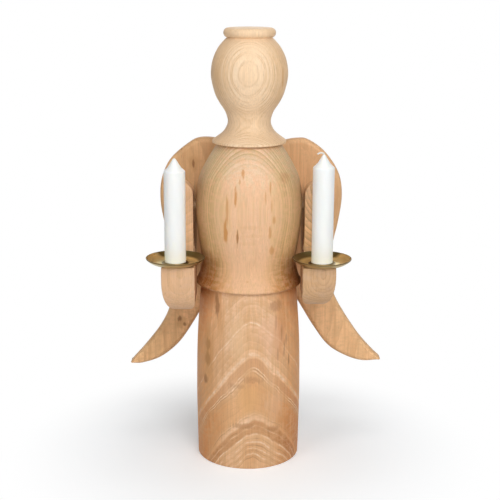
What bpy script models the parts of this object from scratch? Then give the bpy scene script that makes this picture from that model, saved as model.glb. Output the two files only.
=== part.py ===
"""Standing angel in turned and sawn wood that holds two candles on brass drip pans.

Lengths are in metres. Z is up and the base stands on z = 0. The angel faces -Y, so its
left arm and wing, seen from the front, lie at -X. The origin is the middle of the base.
"""
import math

import bmesh
import bpy
from mathutils import Matrix, Vector

# Clearance between pieces that touch, and between a pin and its hole
GAP = 0.0003

# Facets round the turned pieces, and points between two outline points
BODY_STEPS = 32
PAN_STEPS = 32
CANDLE_STEPS = 20
PIN_STEPS = 16
CURVE_STEPS = 2
CORNER_STEPS = 6

# Each turned side is a list of (depth cut below the blank's radius, climb from the point
# before it), read upwards. The skirt and the bodice are turned from blanks of one radius.
BODY_BLANK_R = 0.0570
HEAD_BLANK_R = 0.0397

# Skirt: a slightly bellied turned post
SKIRT_FOOT_CUT = 0.0018
SKIRT_FOOT_EDGE = 0.0010
SKIRT_TOP_CUT = 0.0064
SKIRT_SIDE = [
    (SKIRT_FOOT_CUT, SKIRT_FOOT_EDGE), (0.0008, 0.0500), (0.0006, 0.0300), (0.0018, 0.0560),
    (SKIRT_TOP_CUT, 0.0642),
]

# Bodice: turned, its hem laps over the skirt, its back is planed flat for the wings
HEM_LAP = 0.0065
HEM_EDGE = 0.0022
HEM_CUT = 0.0003
CHEST_CUT = 0.00025
HEM_TO_CHEST = [
    (HEM_CUT, HEM_EDGE), (0.0045, 0.0095), (0.0067, 0.0150), (0.0040, 0.0206), (CHEST_CUT, 0.0340),
]
CHEST_TO_TOP = [(0.0033, 0.0300), (0.0120, 0.0196), (0.0240, 0.0196)]
BACK_SHAVING = 0.0140

# Head: collar, neck, head and halo bead turned as one piece
COLLAR_CUT = 0.0009
COLLAR_EDGE = 0.0024
HEAD_SIDE = [
    (COLLAR_CUT, COLLAR_EDGE), (0.0116, 0.0081), (0.0162, 0.0070), (0.0172, 0.0060), (0.0144, 0.0090),
    (0.0086, 0.0090), (0.0037, 0.0100), (0.0000, 0.0155), (0.0003, 0.0115), (0.0027, 0.0100),
    (0.0071, 0.0090), (0.0118, 0.0060), (0.0161, 0.0043),
]
HALO_CUT = 0.0127
HALO_H = 0.0100

# Arms: each sawn to an L, its forearm points forward and is bored for the candle cup
ARM_CLEARANCE = 0.00145
ARM_W = 0.0302
ARM_FRONT_Y = -0.0162
ARM_DEPTH = 0.0200
ARM_TOP_UP = 0.0298
ELBOW_FILLET = 0.0070
ELBOW_BACK_R = 0.0140
FOREARM_TURN_IN = 0.0033
FOREARM_W = 0.0346
FOREARM_TOP_DOWN = 0.0502
FOREARM_LENGTH = 0.0483
FOREARM_H_LEFT = 0.0508
FOREARM_H_RIGHT = 0.0446
FOREARM_NOSE_RY = 0.0280
FOREARM_NOSE_RZ = 0.0300
FOREARM_OUTER_RX = 0.0150
FOREARM_OUTER_RZ = 0.0360
FOREARM_INNER_RX = 0.0090
FOREARM_INNER_RZ = 0.0140
HEM_CLEARANCE = 0.0006

# Drip pans: pressed brass with a cup that sits in the forearm
PAN_R = 0.0305
PAN_SHEET = 0.0006
PAN_DISH = 0.0066
PAN_FLOOR_R = 0.0190
PAN_BEND_R = 0.0258
PAN_BEND_UP = 0.0026
CUP_OFFSET_X = 0.0174
CUP_DEPTH = 0.0220
CUP_COLLAR_R = 0.0146
CUP_COLLAR_H = 0.0018

# Candles and wicks. The cone is a list of (radius, climb from the point before it).
CANDLE_R = 0.0110
CANDLE_STANDS_LEFT = 0.0972
CANDLE_STANDS_RIGHT = 0.1017
CANDLE_CONE = [(0.0076, 0.0027), (0.0053, 0.0031), (0.0027, 0.0043), (0.0016, 0.0019)]
WICK_R = 0.0009
WICK_SEAT = 0.0120
WICK_CURL = [
    (0.0000, 0.0000, 0.0006), (-0.0008, -0.0002, 0.0018), (-0.0026, -0.0006, 0.0026),
    (-0.0048, -0.0010, 0.0024), (-0.0066, -0.0011, 0.0012),
]

# Wings: two boards sawn to their outlines, screwed to the back of the bodice
WING_T = 0.0160
WING_ARRIS = 0.0045
ARRIS_MIN_DEGREES = 60.0

# Pins and screws that hold the pieces together
BODY_PIN_R = 0.0080
BODY_PIN_SEAT = 0.0300
NECK_PIN_R = 0.0060
NECK_PIN_SEAT = 0.0200
SHOULDER_PIN_R = 0.0045
SHOULDER_PIN_SEAT = 0.0180
SHOULDER_PIN_UP = 0.0030
SCREW_R = 0.0021
SCREW_HEAD_R = 0.0042
SCREW_HEAD_H = 0.0030
SCREW_RIM = 0.0004
SCREW_POINT_H = 0.0060
SCREW_SINK = 0.0006
SCREW_BITE = 0.0180
SCREW_PLACE_UPPER = (0.0190, 0.0260)
SCREW_PLACE_LOWER = (0.0215, -0.0040)

# Each wing's outline: distance out from the middle of the back, and height above the chest
WING_OUTLINE_LEFT = [
    (0.0210, 0.0625), (0.0360, 0.0665), (0.0530, 0.0670), (0.0657, 0.0613),
    (0.0862, 0.0434), (0.0961, 0.0216), (0.0977, -0.0030), (0.0937, -0.0280),
    (0.0872, -0.0540), (0.0852, -0.0800), (0.0862, -0.1060), (0.0906, -0.1293),
    (0.1008, -0.1494), (0.1171, -0.1708), (0.1320, -0.1880), (0.1338, -0.1910),
    (0.1305, -0.1922), (0.1199, -0.1918), (0.0994, -0.1843), (0.0788, -0.1670),
    (0.0622, -0.1425), (0.0500, -0.1200), (0.0370, -0.0910), (0.0260, -0.0560),
    (0.0140, -0.0120), (0.0080, 0.0240), (0.0110, 0.0510),
]
WING_OUTLINE_RIGHT = [
    (0.0250, 0.0600), (0.0392, 0.0645), (0.0518, 0.0666), (0.0640, 0.0652),
    (0.0823, 0.0523), (0.0980, 0.0293), (0.1024, 0.0040), (0.0988, -0.0257),
    (0.0935, -0.0510), (0.0919, -0.0770), (0.0947, -0.1052), (0.1056, -0.1282),
    (0.1252, -0.1577), (0.1416, -0.1764), (0.1490, -0.1835), (0.1500, -0.1861),
    (0.1460, -0.1870), (0.1296, -0.1880), (0.1111, -0.1824), (0.0906, -0.1698),
    (0.0740, -0.1480), (0.0579, -0.1214), (0.0430, -0.0960), (0.0300, -0.0620),
    (0.0160, -0.0160), (0.0090, 0.0240), (0.0120, 0.0500),
]

SIDES = {"left": -1.0, "right": 1.0}
FOREARM_H = {"left": FOREARM_H_LEFT, "right": FOREARM_H_RIGHT}
CANDLE_STANDS = {"left": CANDLE_STANDS_LEFT, "right": CANDLE_STANDS_RIGHT}
WING_OUTLINE = {"left": WING_OUTLINE_LEFT, "right": WING_OUTLINE_RIGHT}
SCREW_PLACES = {"upper": SCREW_PLACE_UPPER, "lower": SCREW_PLACE_LOWER}


def climb(start, side, blank_r):
    """The (radius, height) points of a turned side that starts at the given height."""
    points = []
    height = start
    for depth, rise in side:
        height += rise
        points.append((blank_r - depth, height))
    return points


# Heights and places that several pieces share
SKIRT_FOOT_R = BODY_BLANK_R - SKIRT_FOOT_CUT
SKIRT_TOP_R = BODY_BLANK_R - SKIRT_TOP_CUT
HEM_R = BODY_BLANK_R - HEM_CUT
CHEST_R = BODY_BLANK_R - CHEST_CUT
COLLAR_R = HEAD_BLANK_R - COLLAR_CUT
HALO_R = HEAD_BLANK_R - HALO_CUT
BACK_FLAT_Y = BODY_BLANK_R - BACK_SHAVING
SKIRT_TOP_Z = climb(0.0, SKIRT_SIDE, BODY_BLANK_R)[-1][1]
HEM_Z = SKIRT_TOP_Z - HEM_LAP
CHEST_Z = climb(HEM_Z, HEM_TO_CHEST, BODY_BLANK_R)[-1][1]
BODICE_TOP_Z = climb(CHEST_Z, CHEST_TO_TOP, BODY_BLANK_R)[-1][1]
HEAD_SEAT_Z = BODICE_TOP_Z + GAP
ARM_INNER_X = CHEST_R + ARM_CLEARANCE
ARM_BACK_Y = ARM_FRONT_Y + ARM_DEPTH
ARM_TOP_Z = CHEST_Z + ARM_TOP_UP
FOREARM_INNER_X = ARM_INNER_X - FOREARM_TURN_IN
FOREARM_OUTER_X = FOREARM_INNER_X + FOREARM_W
FOREARM_TOP_Z = CHEST_Z - FOREARM_TOP_DOWN
FOREARM_FRONT_Y = ARM_FRONT_Y - FOREARM_LENGTH
SHOULDER_PIN_Z = CHEST_Z + SHOULDER_PIN_UP
CUP_INNER_R = CANDLE_R + GAP
CUP_OUTER_R = CUP_INNER_R + PAN_SHEET
CUP_BOTTOM_Z = FOREARM_TOP_Z + GAP - CUP_DEPTH
WING_BACK_Y = BACK_FLAT_Y + GAP + WING_T


def clear_scene():
    for item in list(bpy.data.objects):
        bpy.data.objects.remove(item, do_unlink=True)


def collection(name):
    group = bpy.data.collections.new(name)
    bpy.context.scene.collection.children.link(group)
    return group


def material(name, colour, roughness, metallic=0.0):
    made = bpy.data.materials.new(name)
    made.use_nodes = True
    shader = made.node_tree.nodes["Principled BSDF"]
    shader.inputs["Base Color"].default_value = (*colour, 1.0)
    shader.inputs["Roughness"].default_value = roughness
    shader.inputs["Metallic"].default_value = metallic
    made.diffuse_color = (*colour, 1.0)
    return made


def smooth_through(points, closed=False):
    """A Catmull-Rom curve through the given flat points."""
    count = len(points)
    spans = count if closed else count - 1
    run = []
    for i in range(spans):
        near = [i + k if closed else min(max(i + k, 0), count - 1) for k in (-1, 0, 1, 2)]
        p0, p1, p2, p3 = (Vector(points[k % count]) for k in near)
        for step in range(CURVE_STEPS):
            t = step / CURVE_STEPS
            bend = (2.0 * p0 - 5.0 * p1 + 4.0 * p2 - p3) * t ** 2 + (3.0 * p1 - p0 - 3.0 * p2 + p3) * t ** 3
            run.append(tuple(p1 + 0.5 * ((p2 - p0) * t + bend)))
    if not closed:
        run.append(tuple(points[-1]))
    return run


def downwards(points):
    """The smooth outer side of a turned piece, from its top to its foot."""
    return smooth_through(points)[::-1]


def arc(centre, radii, start, end, steps=CORNER_STEPS):
    """Points on an ellipse arc, angles in degrees, both ends included."""
    run = []
    for step in range(steps + 1):
        angle = math.radians(start + (end - start) * step / steps)
        run.append((centre[0] + radii[0] * math.cos(angle), centre[1] + radii[1] * math.sin(angle)))
    return run


def link(name, mesh, group, finish=None):
    made = bpy.data.objects.new(name, mesh)
    group.objects.link(made)
    if finish is not None:
        mesh.materials.append(finish)
    return made


def turned(name, profile, steps, group, finish=None):
    """A solid turned about Z. The profile starts on the axis at the top and ends on it below."""
    mesh = bpy.data.meshes.new(name)
    points = [(radius, 0.0, height) for radius, height in profile]
    mesh.from_pydata(points, [(i, i + 1) for i in range(len(points) - 1)], [])
    made = link(name, mesh, group, finish)
    screw = made.modifiers.new("Turning", "SCREW")
    screw.axis = "Z"
    screw.angle = 2.0 * math.pi
    screw.steps = steps
    screw.render_steps = steps
    screw.use_merge_vertices = True
    screw.merge_threshold = 0.00001
    screw.use_smooth_shade = True
    return made


def sawn(name, outline, thickness, group, finish=None):
    """A board sawn to a flat outline in its own XY plane, its thickness along its own Z."""
    curve = bpy.data.curves.new(name, "CURVE")
    curve.dimensions = "2D"
    curve.fill_mode = "BOTH"
    curve.extrude = thickness / 2.0
    spline = curve.splines.new("POLY")
    spline.points.add(len(outline) - 1)
    for point, (across, up) in zip(spline.points, outline):
        point.co = (across, up, 0.0, 1.0)
    spline.use_cyclic_u = True
    guide = link(name + "_outline", curve, group)
    depsgraph = bpy.context.evaluated_depsgraph_get()
    mesh = bpy.data.meshes.new_from_object(guide.evaluated_get(depsgraph))
    bpy.data.objects.remove(guide, do_unlink=True)
    work = bmesh.new()
    work.from_mesh(mesh)
    bmesh.ops.remove_doubles(work, verts=work.verts, dist=0.00001)
    bmesh.ops.recalc_face_normals(work, faces=work.faces)
    work.to_mesh(mesh)
    work.free()
    mesh.name = name
    return link(name, mesh, group, finish)


def stand_across(made, depth_y):
    """Stand a sawn board up, so that its outline lies across X and Z at the given depth."""
    made.data.transform(Matrix.Translation((0.0, depth_y, 0.0)) @ Matrix.Rotation(math.pi / 2.0, 4, "X"))


def stand_lengthwise(made, middle_x):
    """Stand a sawn board up, so that its outline lies along Y and Z."""
    turn = Matrix(((0.0, 0.0, 1.0, 0.0), (1.0, 0.0, 0.0, 0.0), (0.0, 1.0, 0.0, 0.0), (0.0, 0.0, 0.0, 1.0)))
    made.data.transform(Matrix.Translation((middle_x, 0.0, 0.0)) @ turn)


def cut(target, cutter, operation="DIFFERENCE"):
    cutter.hide_render = True
    cutter.display_type = "WIRE"
    boolean = target.modifiers.new(cutter.name, "BOOLEAN")
    boolean.operation = operation
    boolean.solver = "EXACT"
    boolean.object = cutter


def rod_profile(radius, low, high):
    return [(0.0, high), (radius, high), (radius, low), (0.0, low)]


def pin(name, radius, start, end, group, finish=None):
    """A round pin from one point to another."""
    start, end = Vector(start), Vector(end)
    made = turned(name, rod_profile(radius, 0.0, (end - start).length), PIN_STEPS, group, finish)
    made.location = start
    made.rotation_euler = (end - start).to_track_quat("Z", "Y").to_euler()
    return made


def pinned(name, radius, start, end, targets, group, cutters, finish):
    """A pin and the matching hole in each piece that it joins."""
    start, end = Vector(start), Vector(end)
    along = (end - start).normalized() * GAP
    hole = pin(name + "_hole", radius + GAP, start - along, end + along, cutters)
    for target in targets:
        cut(target, hole)
    return pin(name, radius, start, end, group, finish)


def skirt(group, finish):
    side = downwards(climb(0.0, SKIRT_SIDE, BODY_BLANK_R))
    profile = [(0.0, SKIRT_TOP_Z)] + side + [(SKIRT_FOOT_R - SKIRT_FOOT_EDGE, 0.0), (0.0, 0.0)]
    return turned("skirt", profile, BODY_STEPS, group, finish)


def bodice(group, cutters, finish):
    """The bodice is recessed below for the top of the skirt and planed flat across its back."""
    recess_r = SKIRT_TOP_R + 2.0 * GAP
    recess_z = SKIRT_TOP_Z + GAP
    side = downwards(climb(HEM_Z, HEM_TO_CHEST + CHEST_TO_TOP, BODY_BLANK_R))
    profile = [(0.0, BODICE_TOP_Z)] + side
    profile += [(HEM_R, HEM_Z), (recess_r, HEM_Z), (recess_r, recess_z), (0.0, recess_z)]
    made = turned("bodice", profile, BODY_STEPS, group, finish)

    shaving_middle = (0.0, BACK_FLAT_Y + CHEST_R / 2.0, CHEST_Z)
    bpy.ops.mesh.primitive_cube_add(size=1.0, location=shaving_middle)
    shaving = bpy.context.active_object
    shaving.name = "back_shaving"
    shaving.scale = (4.0 * CHEST_R, CHEST_R, 2.0 * CHEST_Z)
    for owner in list(shaving.users_collection):
        owner.objects.unlink(shaving)
    cutters.objects.link(shaving)
    cut(made, shaving)
    return made


def head(group, finish):
    side = climb(HEAD_SEAT_Z, HEAD_SIDE, HEAD_BLANK_R)
    bead_r = HALO_H / 2.0
    bead_z = side[-1][1] + bead_r
    bead = arc((HALO_R - bead_r, bead_z), (bead_r, bead_r), 90.0, -75.0)
    profile = [(0.0, bead_z + bead_r)] + bead + downwards(side)
    profile += [(COLLAR_R, HEAD_SEAT_Z), (0.0, HEAD_SEAT_Z)]
    return turned("head", profile, BODY_STEPS, group, finish)


def arm_front_outline(side):
    """The arm seen from the front: a round shoulder, and a forearm that tapers like a hull."""
    bottom = FOREARM_TOP_Z - FOREARM_H[side]
    swell_top = FOREARM_TOP_Z + ELBOW_FILLET + ARM_W / 2.0
    arm_r = ARM_W / 2.0
    run = arc((ARM_INNER_X + arm_r, ARM_TOP_Z - arm_r), (arm_r, arm_r), 0.0, 180.0, 2 * CORNER_STEPS)
    run += [(ARM_INNER_X, swell_top), (FOREARM_INNER_X, FOREARM_TOP_Z - PAN_DISH)]
    run += arc((FOREARM_INNER_X + FOREARM_INNER_RX, bottom + FOREARM_INNER_RZ),
               (FOREARM_INNER_RX, FOREARM_INNER_RZ), 180.0, 270.0)
    run += arc((FOREARM_OUTER_X - FOREARM_OUTER_RX, bottom + FOREARM_OUTER_RZ),
               (FOREARM_OUTER_RX, FOREARM_OUTER_RZ), 270.0, 360.0)
    run += [(FOREARM_OUTER_X, FOREARM_TOP_Z - PAN_DISH), (ARM_INNER_X + ARM_W, swell_top)]
    return [(SIDES[side] * across, up) for across, up in run]


def arm_side_outline(side):
    """The arm seen from its side: upright at the back, forearm forward, nose and elbow rounded.

    It runs a hair past the front outline above and below, so that the two saw cuts never coincide.
    """
    bottom = FOREARM_TOP_Z - FOREARM_H[side] - GAP
    run = [(ARM_BACK_Y, ARM_TOP_Z + GAP), (ARM_FRONT_Y, ARM_TOP_Z + GAP)]
    run += arc((ARM_FRONT_Y - ELBOW_FILLET, FOREARM_TOP_Z + ELBOW_FILLET),
               (ELBOW_FILLET, ELBOW_FILLET), 0.0, -90.0)
    run += [(FOREARM_FRONT_Y, FOREARM_TOP_Z)]
    run += arc((FOREARM_FRONT_Y + FOREARM_NOSE_RY, bottom + FOREARM_NOSE_RZ),
               (FOREARM_NOSE_RY, FOREARM_NOSE_RZ), 180.0, 270.0)
    run += arc((ARM_BACK_Y - ELBOW_BACK_R, bottom + ELBOW_BACK_R),
               (ELBOW_BACK_R, ELBOW_BACK_R), 270.0, 360.0)
    return run


def candle_place(side):
    """The upright axis of one candle: its pan's rim just clears the fillet under the upper arm."""
    above_rim = max(ELBOW_FILLET - PAN_DISH + PAN_SHEET, 0.0)
    fillet_reach = ELBOW_FILLET - math.sqrt(ELBOW_FILLET ** 2 - above_rim ** 2)
    place_y = ARM_FRONT_Y - fillet_reach - 2.0 * GAP - PAN_R
    return Vector((SIDES[side] * (ARM_INNER_X + CUP_OFFSET_X), place_y, 0.0))


def candle_cone(side):
    """The (radius, height) points of the candle's cone, from its shoulder to its tip."""
    height = FOREARM_TOP_Z + CANDLE_STANDS[side]
    points = [(CANDLE_R, height)]
    for radius, rise in CANDLE_CONE:
        height += rise
        points.append((radius, height))
    return points


def arm(side, group, cutters, finish):
    """One arm, sawn across and lengthwise, relieved where it passes the hem, bored for the cup."""
    made = sawn("arm_" + side, arm_side_outline(side), 2.0 * FOREARM_OUTER_X + 2.0 * ARM_W, group, finish)
    stand_lengthwise(made, 0.0)
    across = sawn("arm_front_" + side, arm_front_outline(side), 4.0 * FOREARM_LENGTH, cutters)
    stand_across(across, ARM_FRONT_Y)
    cut(made, across, "INTERSECT")

    relief_profile = rod_profile(HEM_R + HEM_CLEARANCE, HEM_Z / 2.0, SHOULDER_PIN_Z)
    relief = turned("hem_relief_" + side, relief_profile, BODY_STEPS, cutters)
    cut(made, relief)

    bore_profile = rod_profile(CUP_OUTER_R + GAP, CUP_BOTTOM_Z - GAP, ARM_TOP_Z)
    bore = turned("cup_bore_" + side, bore_profile, PAN_STEPS, cutters)
    bore.location = candle_place(side)
    cut(made, bore)
    return made


def drip_pan(side, group, finish):
    """A dished pan whose collar rings the candle and whose cup goes down into the forearm."""
    floor = FOREARM_TOP_Z + GAP
    top = floor + PAN_SHEET
    rim = floor + PAN_DISH
    inside = [(0.0, CUP_BOTTOM_Z + PAN_SHEET), (CUP_INNER_R, CUP_BOTTOM_Z + PAN_SHEET)]
    collar = [(CUP_INNER_R, top + CUP_COLLAR_H), (CUP_OUTER_R, top + CUP_COLLAR_H), (CUP_COLLAR_R, top)]
    dish = [(PAN_FLOOR_R, top), (PAN_BEND_R, top + PAN_BEND_UP), (PAN_R, rim), (PAN_R, rim - PAN_SHEET),
            (PAN_BEND_R, floor + PAN_BEND_UP), (PAN_FLOOR_R, floor)]
    outside = [(CUP_OUTER_R, floor), (CUP_OUTER_R, CUP_BOTTOM_Z), (0.0, CUP_BOTTOM_Z)]
    made = turned("drip_pan_" + side, inside + collar + dish + outside, PAN_STEPS, group, finish)
    made.location = candle_place(side)
    return made


def candle(side, group, cutters, finish):
    low = CUP_BOTTOM_Z + PAN_SHEET + GAP
    cone = downwards(candle_cone(side))
    tip = cone[0][1]
    made = turned("candle_" + side, [(0.0, tip)] + cone + [(CANDLE_R, low), (0.0, low)],
                  CANDLE_STEPS, group, finish)
    made.location = candle_place(side)
    bore_profile = rod_profile(WICK_R + GAP, tip - WICK_SEAT - GAP, tip + WICK_SEAT)
    bore = turned("wick_bore_" + side, bore_profile, PIN_STEPS, cutters)
    bore.location = candle_place(side)
    cut(made, bore)
    return made


def wick(side, group, finish):
    """The left wick is trimmed at the wax; the right one stands out and curls aside."""
    tip = candle_place(side) + Vector((0.0, 0.0, candle_cone(side)[-1][1]))
    curl = WICK_CURL if side == "right" else WICK_CURL[:1]
    route = [tip - Vector((0.0, 0.0, WICK_SEAT))] + [tip + Vector(step) for step in curl]
    curve = bpy.data.curves.new("wick_" + side, "CURVE")
    curve.dimensions = "3D"
    curve.bevel_depth = WICK_R
    curve.bevel_resolution = 2
    curve.use_fill_caps = True
    spline = curve.splines.new("POLY")
    spline.points.add(len(route) - 1)
    for point, spot in zip(spline.points, route):
        point.co = (*spot, 1.0)
    return link("wick_" + side, curve, group, finish)


def wing(side, group, finish):
    outline = [(SIDES[side] * across, CHEST_Z + up) for across, up in WING_OUTLINE[side]]
    made = sawn("wing_" + side, smooth_through(outline, closed=True), WING_T, group, finish)
    stand_across(made, WING_BACK_Y - WING_T / 2.0)
    bevel = made.modifiers.new("Arris", "BEVEL")
    bevel.width = WING_ARRIS
    bevel.segments = 2
    bevel.limit_method = "ANGLE"
    bevel.angle_limit = math.radians(ARRIS_MIN_DEGREES)
    return made


def wing_screw(side, place, targets, group, cutters, finish):
    """A countersunk screw driven from behind through the wing into the bodice, and its hole."""
    across, up = SCREW_PLACES[place]
    name = "wing_screw_" + side + "_" + place
    tip = -(WING_T - SCREW_SINK + SCREW_BITE)
    shape = [(0.0, 0.0), (SCREW_HEAD_R, 0.0), (SCREW_HEAD_R, -SCREW_RIM), (SCREW_R, -SCREW_HEAD_H),
             (SCREW_R, tip + SCREW_POINT_H), (0.0, tip)]
    space = [(0.0, 2.0 * SCREW_SINK), (SCREW_HEAD_R + GAP, 2.0 * SCREW_SINK),
             (SCREW_HEAD_R + GAP, -SCREW_RIM - GAP), (SCREW_R + GAP, -SCREW_HEAD_H - GAP),
             (SCREW_R + GAP, tip - GAP), (0.0, tip - GAP)]
    hole = turned(name + "_hole", space, PIN_STEPS, cutters)
    made = turned(name, shape, PIN_STEPS, group, finish)
    for piece in (hole, made):
        piece.location = (SIDES[side] * across, WING_BACK_Y - SCREW_SINK, CHEST_Z + up)
        piece.rotation_euler = (-math.pi / 2.0, 0.0, 0.0)
    for target in targets:
        cut(target, hole)
    return made


def build():
    clear_scene()
    parts = collection("Angel candle holder")
    cutters = collection("Cutters")
    pale_wood = material("head wood", (0.70, 0.49, 0.30), 0.60)
    body_wood = material("bodice and skirt wood", (0.62, 0.40, 0.23), 0.62)
    arm_wood = material("arm wood", (0.64, 0.42, 0.26), 0.62)
    wing_wood = material("wing wood", (0.56, 0.33, 0.18), 0.62)
    dowel_wood = material("dowel wood", (0.72, 0.54, 0.34), 0.60)
    brass = material("drip pan brass", (0.62, 0.47, 0.20), 0.34, 1.0)
    wax = material("candle wax", (0.88, 0.88, 0.88), 0.45)
    cotton = material("wick cotton", (0.85, 0.83, 0.78), 0.85)
    steel = material("screw steel", (0.50, 0.48, 0.44), 0.40, 1.0)

    skirt_piece = skirt(parts, body_wood)
    bodice_piece = bodice(parts, cutters, body_wood)
    head_piece = head(parts, pale_wood)
    pinned("body_dowel", BODY_PIN_R, (0.0, 0.0, SKIRT_TOP_Z - BODY_PIN_SEAT),
           (0.0, 0.0, SKIRT_TOP_Z + BODY_PIN_SEAT), (skirt_piece, bodice_piece),
           parts, cutters, dowel_wood)
    pinned("neck_dowel", NECK_PIN_R, (0.0, 0.0, BODICE_TOP_Z - NECK_PIN_SEAT),
           (0.0, 0.0, BODICE_TOP_Z + NECK_PIN_SEAT), (bodice_piece, head_piece),
           parts, cutters, dowel_wood)

    shoulder_y = (ARM_FRONT_Y + ARM_BACK_Y) / 2.0
    for side, sign in SIDES.items():
        arm_piece = arm(side, parts, cutters, arm_wood)
        pinned("shoulder_dowel_" + side, SHOULDER_PIN_R,
               (sign * (CHEST_R - SHOULDER_PIN_SEAT), shoulder_y, SHOULDER_PIN_Z),
               (sign * (ARM_INNER_X + SHOULDER_PIN_SEAT), shoulder_y, SHOULDER_PIN_Z),
               (bodice_piece, arm_piece), parts, cutters, dowel_wood)
        drip_pan(side, parts, brass)
        candle(side, parts, cutters, wax)
        wick(side, parts, cotton)
        wing_piece = wing(side, parts, wing_wood)
        for place in SCREW_PLACES:
            wing_screw(side, place, (wing_piece, bodice_piece), parts, cutters, steel)


build()
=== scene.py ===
"""Looks of the standing angel candle holder: turned and sawn wood, brass pans, wax candles.

Lengths are in metres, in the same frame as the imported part: Z up, the angel faces -Y.
"""

import math

import bpy
from mathutils import Matrix, Vector, kdtree


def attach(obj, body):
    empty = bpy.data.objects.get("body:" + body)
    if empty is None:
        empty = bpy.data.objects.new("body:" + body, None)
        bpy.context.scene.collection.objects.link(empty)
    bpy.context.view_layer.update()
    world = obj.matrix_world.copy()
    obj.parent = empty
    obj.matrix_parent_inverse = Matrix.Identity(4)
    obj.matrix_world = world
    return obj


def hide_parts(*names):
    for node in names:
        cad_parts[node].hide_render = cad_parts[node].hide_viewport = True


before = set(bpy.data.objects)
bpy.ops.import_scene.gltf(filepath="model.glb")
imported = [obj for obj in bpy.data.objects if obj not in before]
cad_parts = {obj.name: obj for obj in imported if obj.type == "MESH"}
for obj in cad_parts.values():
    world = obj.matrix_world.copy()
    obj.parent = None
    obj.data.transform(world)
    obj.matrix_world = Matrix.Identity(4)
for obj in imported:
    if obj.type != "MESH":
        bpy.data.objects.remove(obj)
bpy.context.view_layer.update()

BODY = "root"
SIDES = {"left": -1.0, "right": 1.0}
GAP = 0.0003

# How finely the pieces are turned and sawn
TURNED_STEPS = 128
PAN_STEPS = 96
CANDLE_STEPS = 64
PROFILE_STEPS = 10
OUTLINE_STEPS = 8
CORNER_STEPS = 18
SMOOTH_BELOW = math.radians(28.0)


def smooth_through(points, steps, closed=False):
    """A Catmull-Rom curve through the given flat points."""
    count = len(points)
    run = []
    for i in range(count if closed else count - 1):
        near = [i + k if closed else min(max(i + k, 0), count - 1) for k in (-1, 0, 1, 2)]
        p0, p1, p2, p3 = (Vector(points[k % count]) for k in near)
        for step in range(steps):
            t = step / steps
            bend = (2.0 * p0 - 5.0 * p1 + 4.0 * p2 - p3) * t ** 2 + (3.0 * p1 - p0 - 3.0 * p2 + p3) * t ** 3
            run.append(tuple(p1 + 0.5 * ((p2 - p0) * t + bend)))
    if not closed:
        run.append(tuple(points[-1]))
    return run


def arc(centre, radii, start, end, steps=CORNER_STEPS):
    """Points on an ellipse arc, angles in degrees, both ends included."""
    run = []
    for step in range(steps + 1):
        angle = math.radians(start + (end - start) * step / steps)
        run.append((centre[0] + radii[0] * math.cos(angle), centre[1] + radii[1] * math.sin(angle)))
    return run


def deselect():
    if bpy.context.mode != "OBJECT":
        bpy.ops.object.mode_set(mode="OBJECT")
    bpy.ops.object.select_all(action="DESELECT")


def current(name):
    made = bpy.context.active_object
    made.name = name
    made.data.name = name
    return made


def choose(made):
    """Make one object the only selected one, and the active one."""
    deselect()
    made.select_set(True)
    bpy.context.view_layer.objects.active = made


def smooth(made):
    choose(made)
    bpy.ops.object.shade_smooth_by_angle(angle=SMOOTH_BELOW)


def apply_modifier(made, kind, **settings):
    choose(made)
    modifier = made.modifiers.new(kind.title(), kind)
    for key, value in settings.items():
        setattr(modifier, key, value)
    bpy.ops.object.modifier_apply(modifier=modifier.name)


def settle(made):
    """Put the object's origin at the frame's origin, with its place in its mesh."""
    choose(made)
    bpy.ops.object.transform_apply(location=True, rotation=True, scale=True)


def face_outwards(made):
    choose(made)
    bpy.ops.object.mode_set(mode="EDIT")
    bpy.ops.mesh.select_all(action="SELECT")
    bpy.ops.mesh.remove_doubles(threshold=0.000002)
    bpy.ops.mesh.normals_make_consistent(inside=False)
    bpy.ops.object.mode_set(mode="OBJECT")


def turn_piece(name, profile, steps=TURNED_STEPS, place=(0.0, 0.0)):
    """Turn a piece: a disc is extruded and scaled from ring to ring along (radius, height)."""
    deselect()
    radius, height = profile[0]
    bpy.ops.mesh.primitive_circle_add(
        vertices=steps, radius=radius, fill_type="NGON", location=(place[0], place[1], height))
    made = current(name)
    settle(made)
    bpy.ops.object.mode_set(mode="EDIT")
    bpy.ops.mesh.select_all(action="SELECT")
    for next_radius, next_height in profile[1:]:
        bpy.ops.mesh.extrude_region_move(
            TRANSFORM_OT_translate={"value": (0.0, 0.0, next_height - height)})
        ratio = next_radius / radius
        bpy.ops.transform.resize(value=(ratio, ratio, 1.0), center_override=(place[0], place[1], next_height))
        radius, height = next_radius, next_height
    bpy.ops.object.mode_set(mode="OBJECT")
    face_outwards(made)
    return made


def saw_board(name, rings):
    """Saw a board in its own XY plane: a disc takes the first outline, and is extruded from
    outline to outline. Each ring is (outline, height along Z)."""
    deselect()
    outline, height = rings[0]
    bpy.ops.mesh.primitive_circle_add(vertices=len(outline), radius=1.0, fill_type="NGON")
    made = current(name)
    for vertex, (across, up) in zip(made.data.vertices, outline):
        vertex.co = (across, up, height)
    bpy.ops.object.mode_set(mode="EDIT")
    bpy.ops.mesh.select_all(action="SELECT")
    for next_outline, next_height in rings[1:]:
        bpy.ops.mesh.extrude_region_move(TRANSFORM_OT_translate={"value": (0.0, 0.0, next_height - height)})
        bpy.ops.object.mode_set(mode="OBJECT")
        before = kdtree.KDTree(len(outline))
        for i, (across, up) in enumerate(outline):
            before.insert((across, up, next_height), i)
        before.balance()
        for vertex in made.data.vertices:
            if vertex.select:
                vertex.co = (*next_outline[before.find(vertex.co)[1]], next_height)
        bpy.ops.object.mode_set(mode="EDIT")
        outline, height = next_outline, next_height
    bpy.ops.object.mode_set(mode="OBJECT")
    face_outwards(made)
    return made


def stand_up(made, turn, place):
    """Turn a sawn board upright and put it in its place."""
    made.rotation_euler = turn
    made.location = place
    settle(made)


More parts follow.
